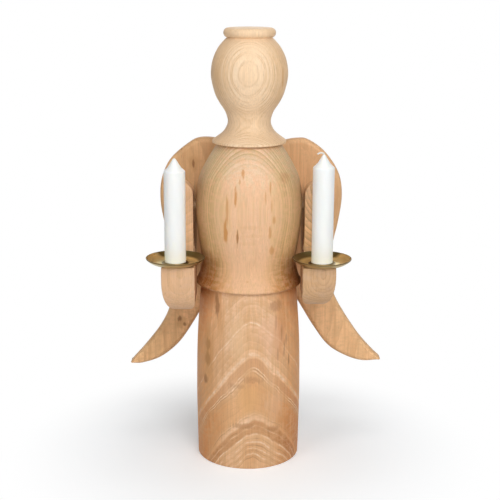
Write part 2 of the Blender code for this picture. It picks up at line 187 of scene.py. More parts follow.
def cut(target, cutter, operation="DIFFERENCE"):
    apply_modifier(target, "BOOLEAN", operation=operation, solver="EXACT", object=cutter)
    bpy.data.objects.remove(cutter, do_unlink=True)


def finish_piece(made, material, slot, *nodes):
    """Give a piece its finish, attach it to the body, and hide the nodes of the part that it stands for."""
    made.data.materials.clear()
    made.data.materials.append(material)
    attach(made, BODY)
    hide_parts(*nodes)
    return made


def climb(start, side, blank_r):
    """The (radius, height) points of a turned side, from (depth cut, climb) steps."""
    points = []
    height = start
    for depth, rise in side:
        height += rise
        points.append((blank_r - depth, height))
    return points


BODY_BLANK_R = 0.0570
HEAD_BLANK_R = 0.0397
SKIRT_SIDE = [(0.0018, 0.0010), (0.0008, 0.0500), (0.0006, 0.0300), (0.0018, 0.0560), (0.0064, 0.0642)]
HEM_LAP = 0.0065
HEM_CUT = 0.0003
HEM_ROUND = 0.0021
BODICE_SIDE = [
    (HEM_CUT, 0.0022), (0.0045, 0.0095), (0.0067, 0.0150), (0.0040, 0.0206), (0.00025, 0.0340),
    (0.0033, 0.0300), (0.0120, 0.0196), (0.0240, 0.0196),
]
CHEST_POINT = 4
HEAD_SIDE = [
    (0.0009, 0.0024), (0.0116, 0.0081), (0.0162, 0.0070), (0.0172, 0.0060), (0.0144, 0.0090),
    (0.0086, 0.0090), (0.0037, 0.0100), (0.0000, 0.0155), (0.0003, 0.0115), (0.0027, 0.0100),
    (0.0071, 0.0090), (0.0118, 0.0060), (0.0161, 0.0043),
]
HALO_CUT = 0.0127
HALO_H = 0.0100
BACK_SHAVING = 0.0140
BACK_FLAT_Y = BODY_BLANK_R - BACK_SHAVING

SKIRT_POINTS = climb(0.0, SKIRT_SIDE, BODY_BLANK_R)
SKIRT_TOP_R, SKIRT_TOP_Z = SKIRT_POINTS[-1]
HEM_Z = SKIRT_TOP_Z - HEM_LAP
HEM_R = BODY_BLANK_R - HEM_CUT
BODICE_POINTS = climb(HEM_Z, BODICE_SIDE, BODY_BLANK_R)
CHEST_R, CHEST_Z = BODICE_POINTS[CHEST_POINT]
BODICE_TOP_R, BODICE_TOP_Z = BODICE_POINTS[-1]
HEAD_SEAT_Z = BODICE_TOP_Z + GAP
HEAD_POINTS = climb(HEAD_SEAT_Z, HEAD_SIDE, HEAD_BLANK_R)
COLLAR_R = HEAD_POINTS[0][0]
EDGE = 0.0006


def skirt_piece():
    """The skirt is a bellied post with a softened foot and top."""
    foot_r = SKIRT_POINTS[0][0]
    side = smooth_through(SKIRT_POINTS, PROFILE_STEPS)
    profile = [(foot_r - 3.0 * EDGE, 0.0), (foot_r - 2.0 * EDGE, 0.0)]
    profile += arc((foot_r - 2.0 * EDGE, 2.0 * EDGE), (2.0 * EDGE, 2.0 * EDGE), -75.0, -15.0, 4)
    profile += [point for point in side if point[1] > 2.0 * EDGE and point[1] < SKIRT_TOP_Z - EDGE]
    profile += [(SKIRT_TOP_R - EDGE, SKIRT_TOP_Z), (SKIRT_TOP_R - 2.0 * EDGE, SKIRT_TOP_Z)]
    return turn_piece("skirt_turned", profile)


def bodice_piece():
    """The bodice is recessed below for the skirt, and its back is planed flat for the wings."""
    recess_r = SKIRT_TOP_R + 2.0 * GAP
    recess_z = SKIRT_TOP_Z + GAP
    side = smooth_through(BODICE_POINTS, PROFILE_STEPS)
    profile = [(recess_r - EDGE, recess_z), (recess_r, recess_z), (recess_r, HEM_Z + EDGE / 2.0)]
    profile += [(recess_r + EDGE / 2.0, HEM_Z), (HEM_R - HEM_ROUND - EDGE, HEM_Z)]
    profile += arc((HEM_R - HEM_ROUND, HEM_Z + HEM_ROUND), (HEM_ROUND, HEM_ROUND), -90.0, -8.0, 8)
    profile += [point for point in side if point[1] < BODICE_TOP_Z - EDGE]
    profile += [(BODICE_TOP_R - EDGE, BODICE_TOP_Z), (BODICE_TOP_R - 2.0 * EDGE, BODICE_TOP_Z)]
    made = turn_piece("bodice_turned", profile)
    bpy.ops.object.mode_set(mode="EDIT")
    bpy.ops.mesh.select_all(action="SELECT")
    bpy.ops.mesh.bisect(plane_co=(0.0, BACK_FLAT_Y, 0.0), plane_no=(0.0, 1.0, 0.0),
                        use_fill=True, clear_outer=True)
    bpy.ops.object.mode_set(mode="OBJECT")
    face_outwards(made)
    return made


def head_piece():
    """Collar, neck, head and halo bead are one turned piece."""
    side = smooth_through(HEAD_POINTS, PROFILE_STEPS)
    bead_r = HALO_H / 2.0
    crown_z = side[-1][1]
    bead_x = HEAD_BLANK_R - HALO_CUT - bead_r
    profile = [(COLLAR_R - 2.0 * EDGE, HEAD_SEAT_Z), (COLLAR_R - EDGE, HEAD_SEAT_Z)]
    profile += arc((COLLAR_R - EDGE, HEAD_SEAT_Z + EDGE), (EDGE, EDGE), -60.0, 0.0, 3)
    profile += arc((COLLAR_R - EDGE, HEAD_POINTS[0][1] - EDGE), (EDGE, EDGE), 0.0, 60.0, 3)
    profile += side[1:]
    profile += arc((bead_x, crown_z + bead_r), (bead_r, bead_r), -72.0, 86.0, 22)
    profile += [(bead_x - EDGE, crown_z + HALO_H)]
    return turn_piece("head_turned", profile)


ARM_CLEARANCE = 0.00145
ARM_W = 0.0302
ARM_FRONT_Y = -0.0162
ARM_DEPTH = 0.0200
ARM_TOP_UP = 0.0298
ELBOW_FILLET = 0.0070
ELBOW_BACK_R = 0.0140
FOREARM_TURN_IN = 0.0033
FOREARM_W = 0.0346
FOREARM_TOP_DOWN = 0.0502
FOREARM_LENGTH = 0.0483
FOREARM_H = {"left": 0.0508, "right": 0.0446}
NOSE_RADII = (0.0280, 0.0300)
OUTER_RADII = (0.0150, 0.0360)
INNER_RADII = (0.0090, 0.0140)
HEM_CLEARANCE = 0.0006
ARM_VOXEL = 0.0007
SANDING_PASSES = 5
SANDING_STRENGTH = 0.5

# The swell from the upper arm to the hand: where it bends, and how far from its ends in height
SWELL_PART = 0.16
SWELL_SOFTNESS = 0.006

ARM_INNER_X = CHEST_R + ARM_CLEARANCE
ARM_BACK_Y = ARM_FRONT_Y + ARM_DEPTH
ARM_TOP_Z = CHEST_Z + ARM_TOP_UP
FOREARM_INNER_X = ARM_INNER_X - FOREARM_TURN_IN
FOREARM_OUTER_X = FOREARM_INNER_X + FOREARM_W
FOREARM_TOP_Z = CHEST_Z - FOREARM_TOP_DOWN
FOREARM_FRONT_Y = ARM_FRONT_Y - FOREARM_LENGTH
HEM_RELIEF_R = HEM_R + HEM_CLEARANCE

PAN_R = 0.0305
PAN_SHEET = 0.0006
PAN_DISH = 0.0066
CANDLE_R = 0.0110
CUP_OFFSET_X = 0.0174
CUP_DEPTH = 0.0220
CUP_COLLAR_H = 0.0018
CUP_INNER_R = CANDLE_R + GAP
CUP_OUTER_R = CUP_INNER_R + PAN_SHEET
CUP_BOTTOM_Z = FOREARM_TOP_Z + GAP - CUP_DEPTH


def candle_place(side):
    """The upright axis of one candle, as the part places it."""
    above_rim = max(ELBOW_FILLET - PAN_DISH + PAN_SHEET, 0.0)
    fillet_reach = ELBOW_FILLET - math.sqrt(ELBOW_FILLET ** 2 - above_rim ** 2)
    return SIDES[side] * (ARM_INNER_X + CUP_OFFSET_X), ARM_FRONT_Y - fillet_reach - 2.0 * GAP - PAN_R


def arm_front_outline(side):
    """The arm from the front: a round shoulder, a slow swell to the elbow, a hull-like hand."""
    bottom = FOREARM_TOP_Z - FOREARM_H[side]
    swell_top = FOREARM_TOP_Z + ELBOW_FILLET + ARM_W / 2.0
    swell_foot = FOREARM_TOP_Z - PAN_DISH
    arm_r = ARM_W / 2.0
    swell = smooth_through([(0.0, swell_top), (SWELL_PART, swell_top - SWELL_SOFTNESS),
                            (1.0 - SWELL_PART, swell_foot + SWELL_SOFTNESS), (1.0, swell_foot)], 4)
    turn_in = ARM_INNER_X - FOREARM_INNER_X
    turn_out = FOREARM_OUTER_X - ARM_INNER_X - ARM_W
    run = arc((ARM_INNER_X + arm_r, ARM_TOP_Z - arm_r), (arm_r, arm_r), 0.0, 180.0, 2 * CORNER_STEPS)
    run += [(ARM_INNER_X - turn_in * part, up) for part, up in swell]
    run += arc((FOREARM_INNER_X + INNER_RADII[0], bottom + INNER_RADII[1]), INNER_RADII, 180.0, 270.0)
    run += arc((FOREARM_OUTER_X - OUTER_RADII[0], bottom + OUTER_RADII[1]), OUTER_RADII, 270.0, 360.0)
    run += [(ARM_INNER_X + ARM_W + turn_out * part, up) for part, up in swell[::-1]]
    return [(SIDES[side] * across, up) for across, up in run]


def arm_side_outline(side):
    """The arm from its side: upright behind, forearm forward, nose and elbow rounded."""
    bottom = FOREARM_TOP_Z - FOREARM_H[side] - GAP
    run = [(ARM_BACK_Y, ARM_TOP_Z + GAP), (ARM_FRONT_Y, ARM_TOP_Z + GAP)]
    run += arc((ARM_FRONT_Y - ELBOW_FILLET, FOREARM_TOP_Z + ELBOW_FILLET),
               (ELBOW_FILLET, ELBOW_FILLET), 0.0, -90.0)
    run += [(FOREARM_FRONT_Y, FOREARM_TOP_Z)]
    run += arc((FOREARM_FRONT_Y + NOSE_RADII[0], bottom + NOSE_RADII[1]), NOSE_RADII, 180.0, 270.0)
    run += arc((ARM_BACK_Y - ELBOW_BACK_R, bottom + ELBOW_BACK_R),
               (ELBOW_BACK_R, ELBOW_BACK_R), 270.0, 360.0)
    return run


def arm_piece(side):
    """One arm: two saw cuts across each other, relieved at the hem, bored, then sanded soft."""
    reach = 2.0 * FOREARM_OUTER_X
    outline = arm_side_outline(side)
    made = saw_board("arm_sawn_" + side, [(outline, -reach), (outline, reach)])
    stand_up(made, (math.pi / 2.0, 0.0, math.pi / 2.0), (0.0, 0.0, 0.0))
    outline = arm_front_outline(side)
    across = saw_board("across_" + side, [(outline, -reach), (outline, reach)])
    stand_up(across, (math.pi / 2.0, 0.0, 0.0), (0.0, ARM_FRONT_Y, 0.0))
    cut(made, across, "INTERSECT")
    relief = turn_piece("relief_" + side, [(HEM_RELIEF_R, HEM_Z / 2.0), (HEM_RELIEF_R, CHEST_Z)])
    cut(made, relief)
    place = candle_place(side)
    bore = turn_piece("bore_" + side,
                      [(CUP_OUTER_R + GAP, CUP_BOTTOM_Z - GAP), (CUP_OUTER_R + GAP, ARM_TOP_Z)],
                      CANDLE_STEPS, place)
    cut(made, bore)
    apply_modifier(made, "REMESH", mode="VOXEL", voxel_size=ARM_VOXEL, use_smooth_shade=True)
    apply_modifier(made, "SMOOTH", factor=SANDING_STRENGTH, iterations=SANDING_PASSES)
    return made


CANDLE_STANDS = {"left": 0.0972, "right": 0.1017}
CANDLE_CONE = [(0.0076, 0.0027), (0.0053, 0.0031), (0.0027, 0.0043), (0.0016, 0.0019)]
WICK_R = 0.0009
WICK_SEAT = 0.0120
WICK_STRANDS = 3
STRAND_TWIST = 0.0040
STRAND_OFF_AXIS = 0.46
STRAND_THICKNESS = 0.56
WICK_CURL = [
    (0.0000, 0.0000, 0.0006), (-0.0008, -0.0002, 0.0018), (-0.0026, -0.0006, 0.0026),
    (-0.0048, -0.0010, 0.0024), (-0.0066, -0.0011, 0.0012),
]


def pan_piece(side):
    """A spun brass pan: a raised collar round the candle, a shallow dish and a rolled rim."""
    floor = FOREARM_TOP_Z + GAP
    top = floor + PAN_SHEET
    rim = floor + PAN_DISH
    collar_top = top + CUP_COLLAR_H
    profile = [(CUP_INNER_R - EDGE, CUP_BOTTOM_Z + PAN_SHEET), (CUP_INNER_R, CUP_BOTTOM_Z + PAN_SHEET)]
    profile += [(CUP_INNER_R, collar_top - 0.0002), (CUP_INNER_R + 0.0001, collar_top)]
    profile += [(CUP_OUTER_R - 0.0001, collar_top), (CUP_OUTER_R + 0.0001, collar_top - 0.0002)]
    profile += smooth_through(
        [(0.0122, collar_top - 0.0008), (0.0130, top + 0.0004), (0.0146, top + 0.0001), (0.0170, top)], 4)
    profile += smooth_through(
        [(0.0190, top), (0.0226, top + 0.0008), (0.0258, top + 0.0025), (0.0284, top + 0.0044),
         (0.0299, rim - 0.0003)], 5)
    profile += arc((PAN_R - 0.0004, rim - 0.0004), (0.0004, 0.0004), 90.0, -80.0, 6)
    profile += smooth_through(
        [(0.0302, rim - 0.0012), (0.0289, floor + 0.0042), (0.0262, floor + 0.0022), (0.0228, floor + 0.0006),
         (0.0190, floor)], 5)
    profile += [(CUP_OUTER_R + 0.0004, floor), (CUP_OUTER_R, floor - 0.0004)]
    profile += [(CUP_OUTER_R, CUP_BOTTOM_Z + 0.0002), (CUP_OUTER_R - 0.0002, CUP_BOTTOM_Z)]
    return turn_piece("pan_spun_" + side, profile, PAN_STEPS, candle_place(side))


def candle_cone(side):
    height = FOREARM_TOP_Z + CANDLE_STANDS[side]
    points = [(CANDLE_R, height)]
    for radius, rise in CANDLE_CONE:
        height += rise
        points.append((radius, height))
    return points


def candle_piece(side):
    """A dipped candle whose top narrows to a blunt tip round its wick."""
    low = CUP_BOTTOM_Z + PAN_SHEET + GAP
    cone = candle_cone(side)
    shoulder = cone[0][1]
    steps = [low + 0.0008 + (shoulder - 0.0022 - low) * k / 24 for k in range(25)]
    profile = [(CANDLE_R - 0.0012, low), (CANDLE_R - 0.0006, low)]
    profile += [(CANDLE_R, height) for height in steps]
    profile += smooth_through([(CANDLE_R - 0.0001, shoulder - 0.0006)] + [(CANDLE_R - 0.0009,
                                                                           shoulder + 0.0004)] + cone[1:], 5)
    tip_r, tip_z = cone[-1]
    profile += [(tip_r - 0.0004, tip_z + 0.0001), (WICK_R * 0.9, tip_z - 0.0001)]
    return turn_piece("candle_dipped_" + side, profile, CANDLE_STEPS, candle_place(side))


def wick_piece(side):
    """Three cotton strands laid round each other along the wick's curl."""
    across, depth = candle_place(side)
    tip = Vector((across, depth, candle_cone(side)[-1][1]))
    curl = WICK_CURL if side == "right" else WICK_CURL[:1]
    route = [tip - Vector((0.0, 0.0, WICK_SEAT)), tip - Vector((0.0, 0.0, WICK_SEAT / 3.0)), tip]
    route += [tip + Vector(step) for step in curl]
    middle = [Vector(point) for point in smooth_through(route, 12)]
    strands = []
    for strand in range(WICK_STRANDS):
        deselect()
        bpy.ops.curve.primitive_nurbs_path_add()
        bpy.ops.object.mode_set(mode="OBJECT")
        made = current("strand")
        curve = made.data
        curve.splines.clear()
        spline = curve.splines.new("POLY")
        spline.points.add(len(middle) - 1)
        walked = 0.0
        for i, point in enumerate(middle):
            ahead = middle[min(i + 1, len(middle) - 1)] - middle[max(i - 1, 0)]
            ahead.normalize()
            walked += (point - middle[max(i - 1, 0)]).length
            side_way = ahead.cross(Vector((0.0, 1.0, 0.0))).normalized()
            up_way = ahead.cross(side_way)
            angle = 2.0 * math.pi * (strand / WICK_STRANDS + walked / STRAND_TWIST)
            spot = point + (side_way * math.cos(angle) + up_way * math.sin(angle)) * WICK_R * STRAND_OFF_AXIS
            spline.points[i].co = (*spot, 1.0)
        made.location = (0.0, 0.0, 0.0)
        curve.dimensions = "3D"
        curve.bevel_depth = WICK_R * STRAND_THICKNESS
        curve.bevel_resolution = 3
        curve.use_fill_caps = True
        strands.append(made)
    deselect()
    for made in strands:
        made.select_set(True)
    bpy.context.view_layer.objects.active = strands[0]
    bpy.ops.object.convert(target="MESH")
    bpy.ops.object.join()
    made = current("wick_twisted_" + side)
    settle(made)
    face_outwards(made)
    smooth(made)
    return made


WING_T = 0.0160
WING_ARRIS = 0.0050
ARRIS_STEPS = 7
FLAT_MARGIN = 0.12
FIRST_FIT = 0.75
LAST_FIT = 0.85
FIT_PASSES = 6
WING_FRONT_Y = BACK_FLAT_Y + GAP
WING_BACK_Y = WING_FRONT_Y + WING_T
WING_OUTLINE = {
    "left": [
        (0.0210, 0.0625), (0.0360, 0.0665), (0.0530, 0.0670), (0.0657, 0.0613),
        (0.0862, 0.0434), (0.0961, 0.0216), (0.0977, -0.0030), (0.0937, -0.0280),
        (0.0872, -0.0540), (0.0852, -0.0800), (0.0862, -0.1060), (0.0906, -0.1293),
        (0.1008, -0.1494), (0.1171, -0.1708), (0.1320, -0.1880), (0.1338, -0.1910),
        (0.1305, -0.1922), (0.1199, -0.1918), (0.0994, -0.1843), (0.0788, -0.1670),
        (0.0622, -0.1425), (0.0500, -0.1200), (0.0370, -0.0910), (0.0260, -0.0560),
        (0.0140, -0.0120), (0.0080, 0.0240), (0.0110, 0.0510),
    ],
    "right": [
        (0.0250, 0.0600), (0.0392, 0.0645), (0.0518, 0.0666), (0.0640, 0.0652),
        (0.0823, 0.0523), (0.0980, 0.0293), (0.1024, 0.0040), (0.0988, -0.0257),
        (0.0935, -0.0510), (0.0919, -0.0770), (0.0947, -0.1052), (0.1056, -0.1282),
        (0.1252, -0.1577), (0.1416, -0.1764), (0.1490, -0.1835), (0.1500, -0.1861),
        (0.1460, -0.1870), (0.1296, -0.1880), (0.1111, -0.1824), (0.0906, -0.1698),
        (0.0740, -0.1480), (0.0579, -0.1214), (0.0430, -0.0960), (0.0300, -0.0620),
        (0.0160, -0.0160), (0.0090, 0.0240), (0.0120, 0.0500),
    ],
}
SCREW_PLACES = {"upper": (0.0190, 0.0260), "lower": (0.0215, -0.0040)}
SCREW_R = 0.0021
SCREW_HEAD_R = 0.0042
SCREW_HEAD_H = 0.0030
SCREW_SINK = 0.0006
SCREW_BITE = 0.0180
SCREW_TIP = WING_T - SCREW_SINK + SCREW_BITE
SCREW_STEPS = 40
SLOT_W = 0.0011
SLOT_H = 0.0024
SLOT_TURN = {"upper": 35.0, "lower": 110.0}


def inward_and_room(outline):
    """For each outline point, the inward direction and the radius of the largest disc that fits there."""
    count = len(outline)
    points = [Vector(point) for point in outline]
    area = sum(points[i].cross(points[(i + 1) % count]) for i in range(count))
    inward, room = [], []
    for i in range(count):
        along = (points[(i + 1) % count] - points[i - 1]).normalized()
        way = Vector((-along.y, along.x)) * (1.0 if area > 0.0 else -1.0)
        radii = []
        for j in range(0, count, 2):
            apart = points[j] - points[i]
            if apart.dot(way) > 0.000001:
                radii.append(apart.length_squared / (2.0 * apart.dot(way)))
        inward.append(way)
        room.append(min(radii))
    return inward, room


def wing_piece(side):
    """A wing is a sawn board whose arrises are rounded over on both faces, less so at its tip."""
    outline = smooth_through(
        [(SIDES[side] * across, up) for across, up in WING_OUTLINE[side]], OUTLINE_STEPS, closed=True)
    inward, room = inward_and_room(outline)
    widths = [min(WING_ARRIS, FIRST_FIT * space) for space in room]
    for _ in range(FIT_PASSES):
        widths = [(widths[i - 1] + widths[i] + widths[(i + 1) % len(widths)]) / 3.0
                  for i in range(len(widths))]
        widths = [min(width, LAST_FIT * space) for width, space in zip(widths, room)]

    def ring(part, height):
        moved = [(point[0] + way.x * width * part, point[1] + way.y * width * part)
                 for point, way, width in zip(outline, inward, widths)]
        return moved, height

    half = WING_T / 2.0
    angles = [math.radians(90.0 * k / ARRIS_STEPS) for k in range(ARRIS_STEPS + 1)]
    over = [(1.0 - math.cos(angle), half - WING_ARRIS * (1.0 - math.sin(angle))) for angle in angles]
    back = [ring(1.0 + FLAT_MARGIN, -half)] + [ring(part, -height) for part, height in over[::-1]]
    front = [ring(part, height) for part, height in over] + [ring(1.0 + FLAT_MARGIN, half)]
    made = saw_board("wing_sawn_" + side, back + front)
    stand_up(made, (math.pi / 2.0, 0.0, 0.0), (0.0, WING_BACK_Y - half, CHEST_Z))
    for place in SCREW_PLACES:
        cut(made, drive_in(screw_recess(), side, place))
    return made


def drive_in(made, side, place):
    """Turn a screw, or the recess of its head, to face backwards, and put it in its place."""
    across, up = SCREW_PLACES[place]
    stand_up(made, (-math.pi / 2.0, 0.0, 0.0), (SIDES[side] * across, WING_BACK_Y - SCREW_SINK, CHEST_Z + up))
    return made


def screw_recess():
    """The space round a countersunk head, open to the back of the wing."""
    wide, narrow = SCREW_HEAD_R + GAP, SCREW_R + GAP
    profile = [(narrow, -SCREW_HEAD_H - 0.0020), (narrow, -SCREW_HEAD_H), (wide, -0.0005),
               (wide, 2.0 * SCREW_SINK)]
    return turn_piece("screw_recess", profile, SCREW_STEPS)


def screw_piece(side, place):
    """A countersunk steel screw with a slot across its head."""
    name = "screw_" + side + "_" + place
    profile = [(0.0002, -SCREW_TIP), (SCREW_R * 0.55, -SCREW_TIP + 0.0030), (SCREW_R, -SCREW_TIP + 0.0060)]
    profile += [(SCREW_R, -SCREW_HEAD_H - 0.0004), (SCREW_R + 0.0001, -SCREW_HEAD_H)]
    profile += [(SCREW_HEAD_R - 0.0001, -0.0005), (SCREW_HEAD_R, -0.0003), (SCREW_HEAD_R - 0.0002, -0.0001)]
    profile += [(SCREW_HEAD_R - 0.0005, 0.0), (SCREW_HEAD_R - 0.0008, 0.0)]
    made = turn_piece(name, profile, SCREW_STEPS)
    deselect()
    bpy.ops.mesh.primitive_cube_add(size=1.0, location=(0.0, 0.0, 0.0))
    slot = current("slot_cutter")
    slot.scale = (3.0 * SCREW_HEAD_R, SLOT_W, SLOT_H)
    slot.rotation_euler = (0.0, 0.0, math.radians(SLOT_TURN[place]))
    settle(slot)
    cut(made, slot)
    return drive_in(made, side, place)


def node(tree, kind, settings=None, sockets=None):
    """Add a node, set its own settings, and fill its sockets with values or links."""
    made = tree.nodes.new(kind)
    for key, value in (settings or {}).items():
        setattr(made, key, value)
    for key, value in (sockets or {}).items():
        if isinstance(value, bpy.types.NodeSocket):
            tree.links.new(value, made.inputs[key])
        else:
            made.inputs[key].default_value = value
    return made


def calc(tree, operation, a, b=0.0, clamp=False):
    return node(tree, "ShaderNodeMath", {"operation": operation, "use_clamp": clamp}, {0: a, 1: b}).outputs[0]


def blend_colour(tree, factor, a, b, kind="MIX"):
    made = node(tree, "ShaderNodeMix", {"data_type": "RGBA", "blend_type": kind, "clamp_factor": True},
                {0: factor, 6: a, 7: b})
    return made.outputs[2]


def spread(tree, value, low, high, to_low=0.0, to_high=1.0, smooth_ends=True):
    made = node(tree, "ShaderNodeMapRange", {"interpolation_type": "SMOOTHSTEP" if smooth_ends else "LINEAR"},
                {0: value, 1: low, 2: high, 3: to_low, 4: to_high})
    return made.outputs[0]


def stretched(tree, vector, scale, place=(0.0, 0.0, 0.0)):
    return node(tree, "ShaderNodeMapping", {"vector_type": "POINT"},
                {"Vector": vector, "Location": place, "Scale": scale}).outputs[0]


def cloud(tree, vector, scale, detail=2.0, rough=0.5):
    return node(tree, "ShaderNodeTexNoise", {"noise_dimensions": "3D"},
                {"Vector": vector, "Scale": scale, "Detail": detail, "Roughness": rough}).outputs[0]


def new_group(name, inputs, outputs):
    """A shader node group with named sockets; each is (name, kind, default)."""
    tree = bpy.data.node_groups.new(name, "ShaderNodeTree")
    for title, kind, default in inputs:
        socket = tree.interface.new_socket(title, in_out="INPUT", socket_type="NodeSocket" + kind)
        if default is not None:
            socket.default_value = default
    for title, kind in outputs:
        tree.interface.new_socket(title, in_out="OUTPUT", socket_type="NodeSocket" + kind)
    return tree, tree.nodes.new("NodeGroupInput").outputs, tree.nodes.new("NodeGroupOutput").inputs


# How blunt the rings' point is above and at the foot, and how softly drawn rings end at a height
POINT_BLUNTNESS = 0.004
FOOT_BLUNTNESS = 0.022
LINES_FADE = 0.004

# A range of heights, or of distances, that takes in the whole piece
EVERYWHERE = (-0.1, -0.05)


def growth_rings_group():
    """Yearly rings round a leaning pith: how far out, how late in the year, and each year's tone.

    Pointedness bends the rings to a point in front of the pith, as in the crotch of a tree, more
    bluntly near the foot, and Skew leans that point to one side.
    """
    tree, given, out = new_group(
        "growth rings",
        [("Vector", "Vector", None), ("Pith X", "Float", 0.0), ("Pith Y", "Float", 0.0),
         ("Lean X", "Float", 0.0), ("Lean Y", "Float", 0.0), ("Narrowness", "Float", 1.0),
         ("Pointedness", "Float", 0.0), ("Skew", "Float", 0.0), ("Start", "Float", 0.0),
         ("Year", "Float", 0.003), ("Wander", "Float", 0.002)],
        [("Distance", "Float"), ("Late Wood", "Float"), ("Year Tone", "Float")])
    slow = cloud(tree, stretched(tree, given["Vector"], (1.0, 1.0, 0.45)), 30.0, 3.0)
    quick = cloud(tree, stretched(tree, given["Vector"], (1.0, 1.0, 0.30)), 130.0, 3.0)
    place = node(tree, "ShaderNodeSeparateXYZ", sockets={0: given["Vector"]}).outputs
    pith_x = calc(tree, "MULTIPLY_ADD", place[2], given["Lean X"])
    tree.links.new(given["Pith X"], pith_x.node.inputs[2])
    pith_y = calc(tree, "MULTIPLY_ADD", place[2], given["Lean Y"])
    tree.links.new(given["Pith Y"], pith_y.node.inputs[2])
    aside = calc(tree, "SUBTRACT", place[0], pith_x)
    from_x = calc(tree, "MULTIPLY", aside, given["Narrowness"])
    from_y = calc(tree, "SUBTRACT", place[1], pith_y)
    squares = calc(tree, "ADD", calc(tree, "MULTIPLY", from_x, from_x),
                   calc(tree, "MULTIPLY", from_y, from_y))
    far = calc(tree, "SQRT", squares)
    bluntness = spread(tree, place[2], 0.035, 0.085, FOOT_BLUNTNESS, POINT_BLUNTNESS)
    blunt = calc(tree, "ADD", calc(tree, "MULTIPLY", aside, aside),
                 calc(tree, "MULTIPLY", bluntness, bluntness))
    blunt = calc(tree, "SUBTRACT", calc(tree, "SQRT", blunt),
                 calc(tree, "SUBTRACT", bluntness, POINT_BLUNTNESS))
    far = calc(tree, "SUBTRACT", far, calc(tree, "MULTIPLY", blunt, given["Pointedness"]))
    far = calc(tree, "ADD", far, calc(tree, "MULTIPLY", aside, given["Skew"]))
    shove = calc(tree, "MULTIPLY", calc(tree, "SUBTRACT", slow, 0.5), given["Wander"])
    jitter = calc(tree, "MULTIPLY", calc(tree, "SUBTRACT", quick, 0.5),
                  calc(tree, "MULTIPLY", given["Wander"], 0.16))
    far = calc(tree, "ADD", far, calc(tree, "ADD", shove, jitter))
    years = calc(tree, "DIVIDE", calc(tree, "SUBTRACT", far, given["Start"]), given["Year"])
    uneven = node(tree, "ShaderNodeTexNoise", {"noise_dimensions": "1D"},
                  {"W": years, "Scale": 0.45, "Detail": 1.0}).outputs[0]
    years = calc(tree, "ADD", years, calc(tree, "MULTIPLY", calc(tree, "SUBTRACT", uneven, 0.5), 1.1))
    part = calc(tree, "FRACT", years)
    rising = calc(tree, "POWER", part, 2.6)
    falling = spread(tree, part, 0.93, 1.0, 1.0, 0.0)
    late = calc(tree, "MULTIPLY", calc(tree, "MULTIPLY", rising, falling), spread(tree, years, 0.0, 3.0))
    tone = node(tree, "ShaderNodeTexWhiteNoise", {"noise_dimensions": "1D"},
                {"W": calc(tree, "FLOOR", years)}).outputs[0]
    tree.links.new(far, out["Distance"])
    tree.links.new(late, out["Late Wood"])
    tree.links.new(tone, out["Year Tone"])
    return tree


def fibre_group():
    """Fibre streaks, open pores and slow patches, drawn out along the grain."""
    tree, given, out = new_group(
        "fibre and pores",
        [("Vector", "Vector", None), ("Along", "Float", 0.035), ("Fineness", "Float", 1.0)],
        [("Streak", "Float"), ("Fibre", "Float"), ("Pores", "Float"), ("Patch", "Float")])
    place = node(tree, "ShaderNodeSeparateXYZ", sockets={0: given["Vector"]}).outputs
    long_z = calc(tree, "MULTIPLY", place[2], given["Along"])
    drawn = node(tree, "ShaderNodeCombineXYZ", sockets={0: place[0], 1: place[1], 2: long_z}).outputs[0]
    streak = cloud(tree, drawn, 260.0, 3.0, 0.55)
    fibre = cloud(tree, node(tree, "ShaderNodeVectorMath", {"operation": "SCALE"},
                             {0: drawn, "Scale": given["Fineness"]}).outputs[0], 1500.0, 2.0, 0.6)
    short_z = calc(tree, "MULTIPLY", place[2], calc(tree, "MULTIPLY", given["Along"], 3.0))
    dashed = node(tree, "ShaderNodeCombineXYZ", sockets={0: place[0], 1: place[1], 2: short_z}).outputs[0]
    pores = spread(tree, cloud(tree, dashed, 1900.0, 1.0, 0.5), 0.66, 0.76)
    patch = cloud(tree, stretched(tree, given["Vector"], (1.0, 1.0, 0.45)), 30.0, 3.0, 0.5)
    tree.links.new(streak, out["Streak"])
    tree.links.new(fibre, out["Fibre"])
    tree.links.new(pores, out["Pores"])
    tree.links.new(patch, out["Patch"])
    return tree


def ring_line_group():
    """One ring drawn as a line: full at its distance from the pith, gone half a width away."""
    tree, given, out = new_group(
        "ring line",
        [("Vector", "Vector", None), ("Distance", "Float", 0.0), ("Ring", "Float", 0.05),
         ("Half Width", "Float", 0.001)],
        [("Mask", "Float")])
    broken = cloud(tree, stretched(tree, given["Vector"], (1.0, 1.0, 0.6)), 70.0, 3.0)
    apart = calc(tree, "ABSOLUTE", calc(tree, "SUBTRACT", given["Distance"], given["Ring"]))
    line = spread(tree, calc(tree, "DIVIDE", apart, given["Half Width"]), 0.15, 1.0, 1.0, 0.0)
    tree.links.new(calc(tree, "MULTIPLY", line, spread(tree, broken, 0.36, 0.62, 0.15, 1.0)), out["Mask"])
    return tree


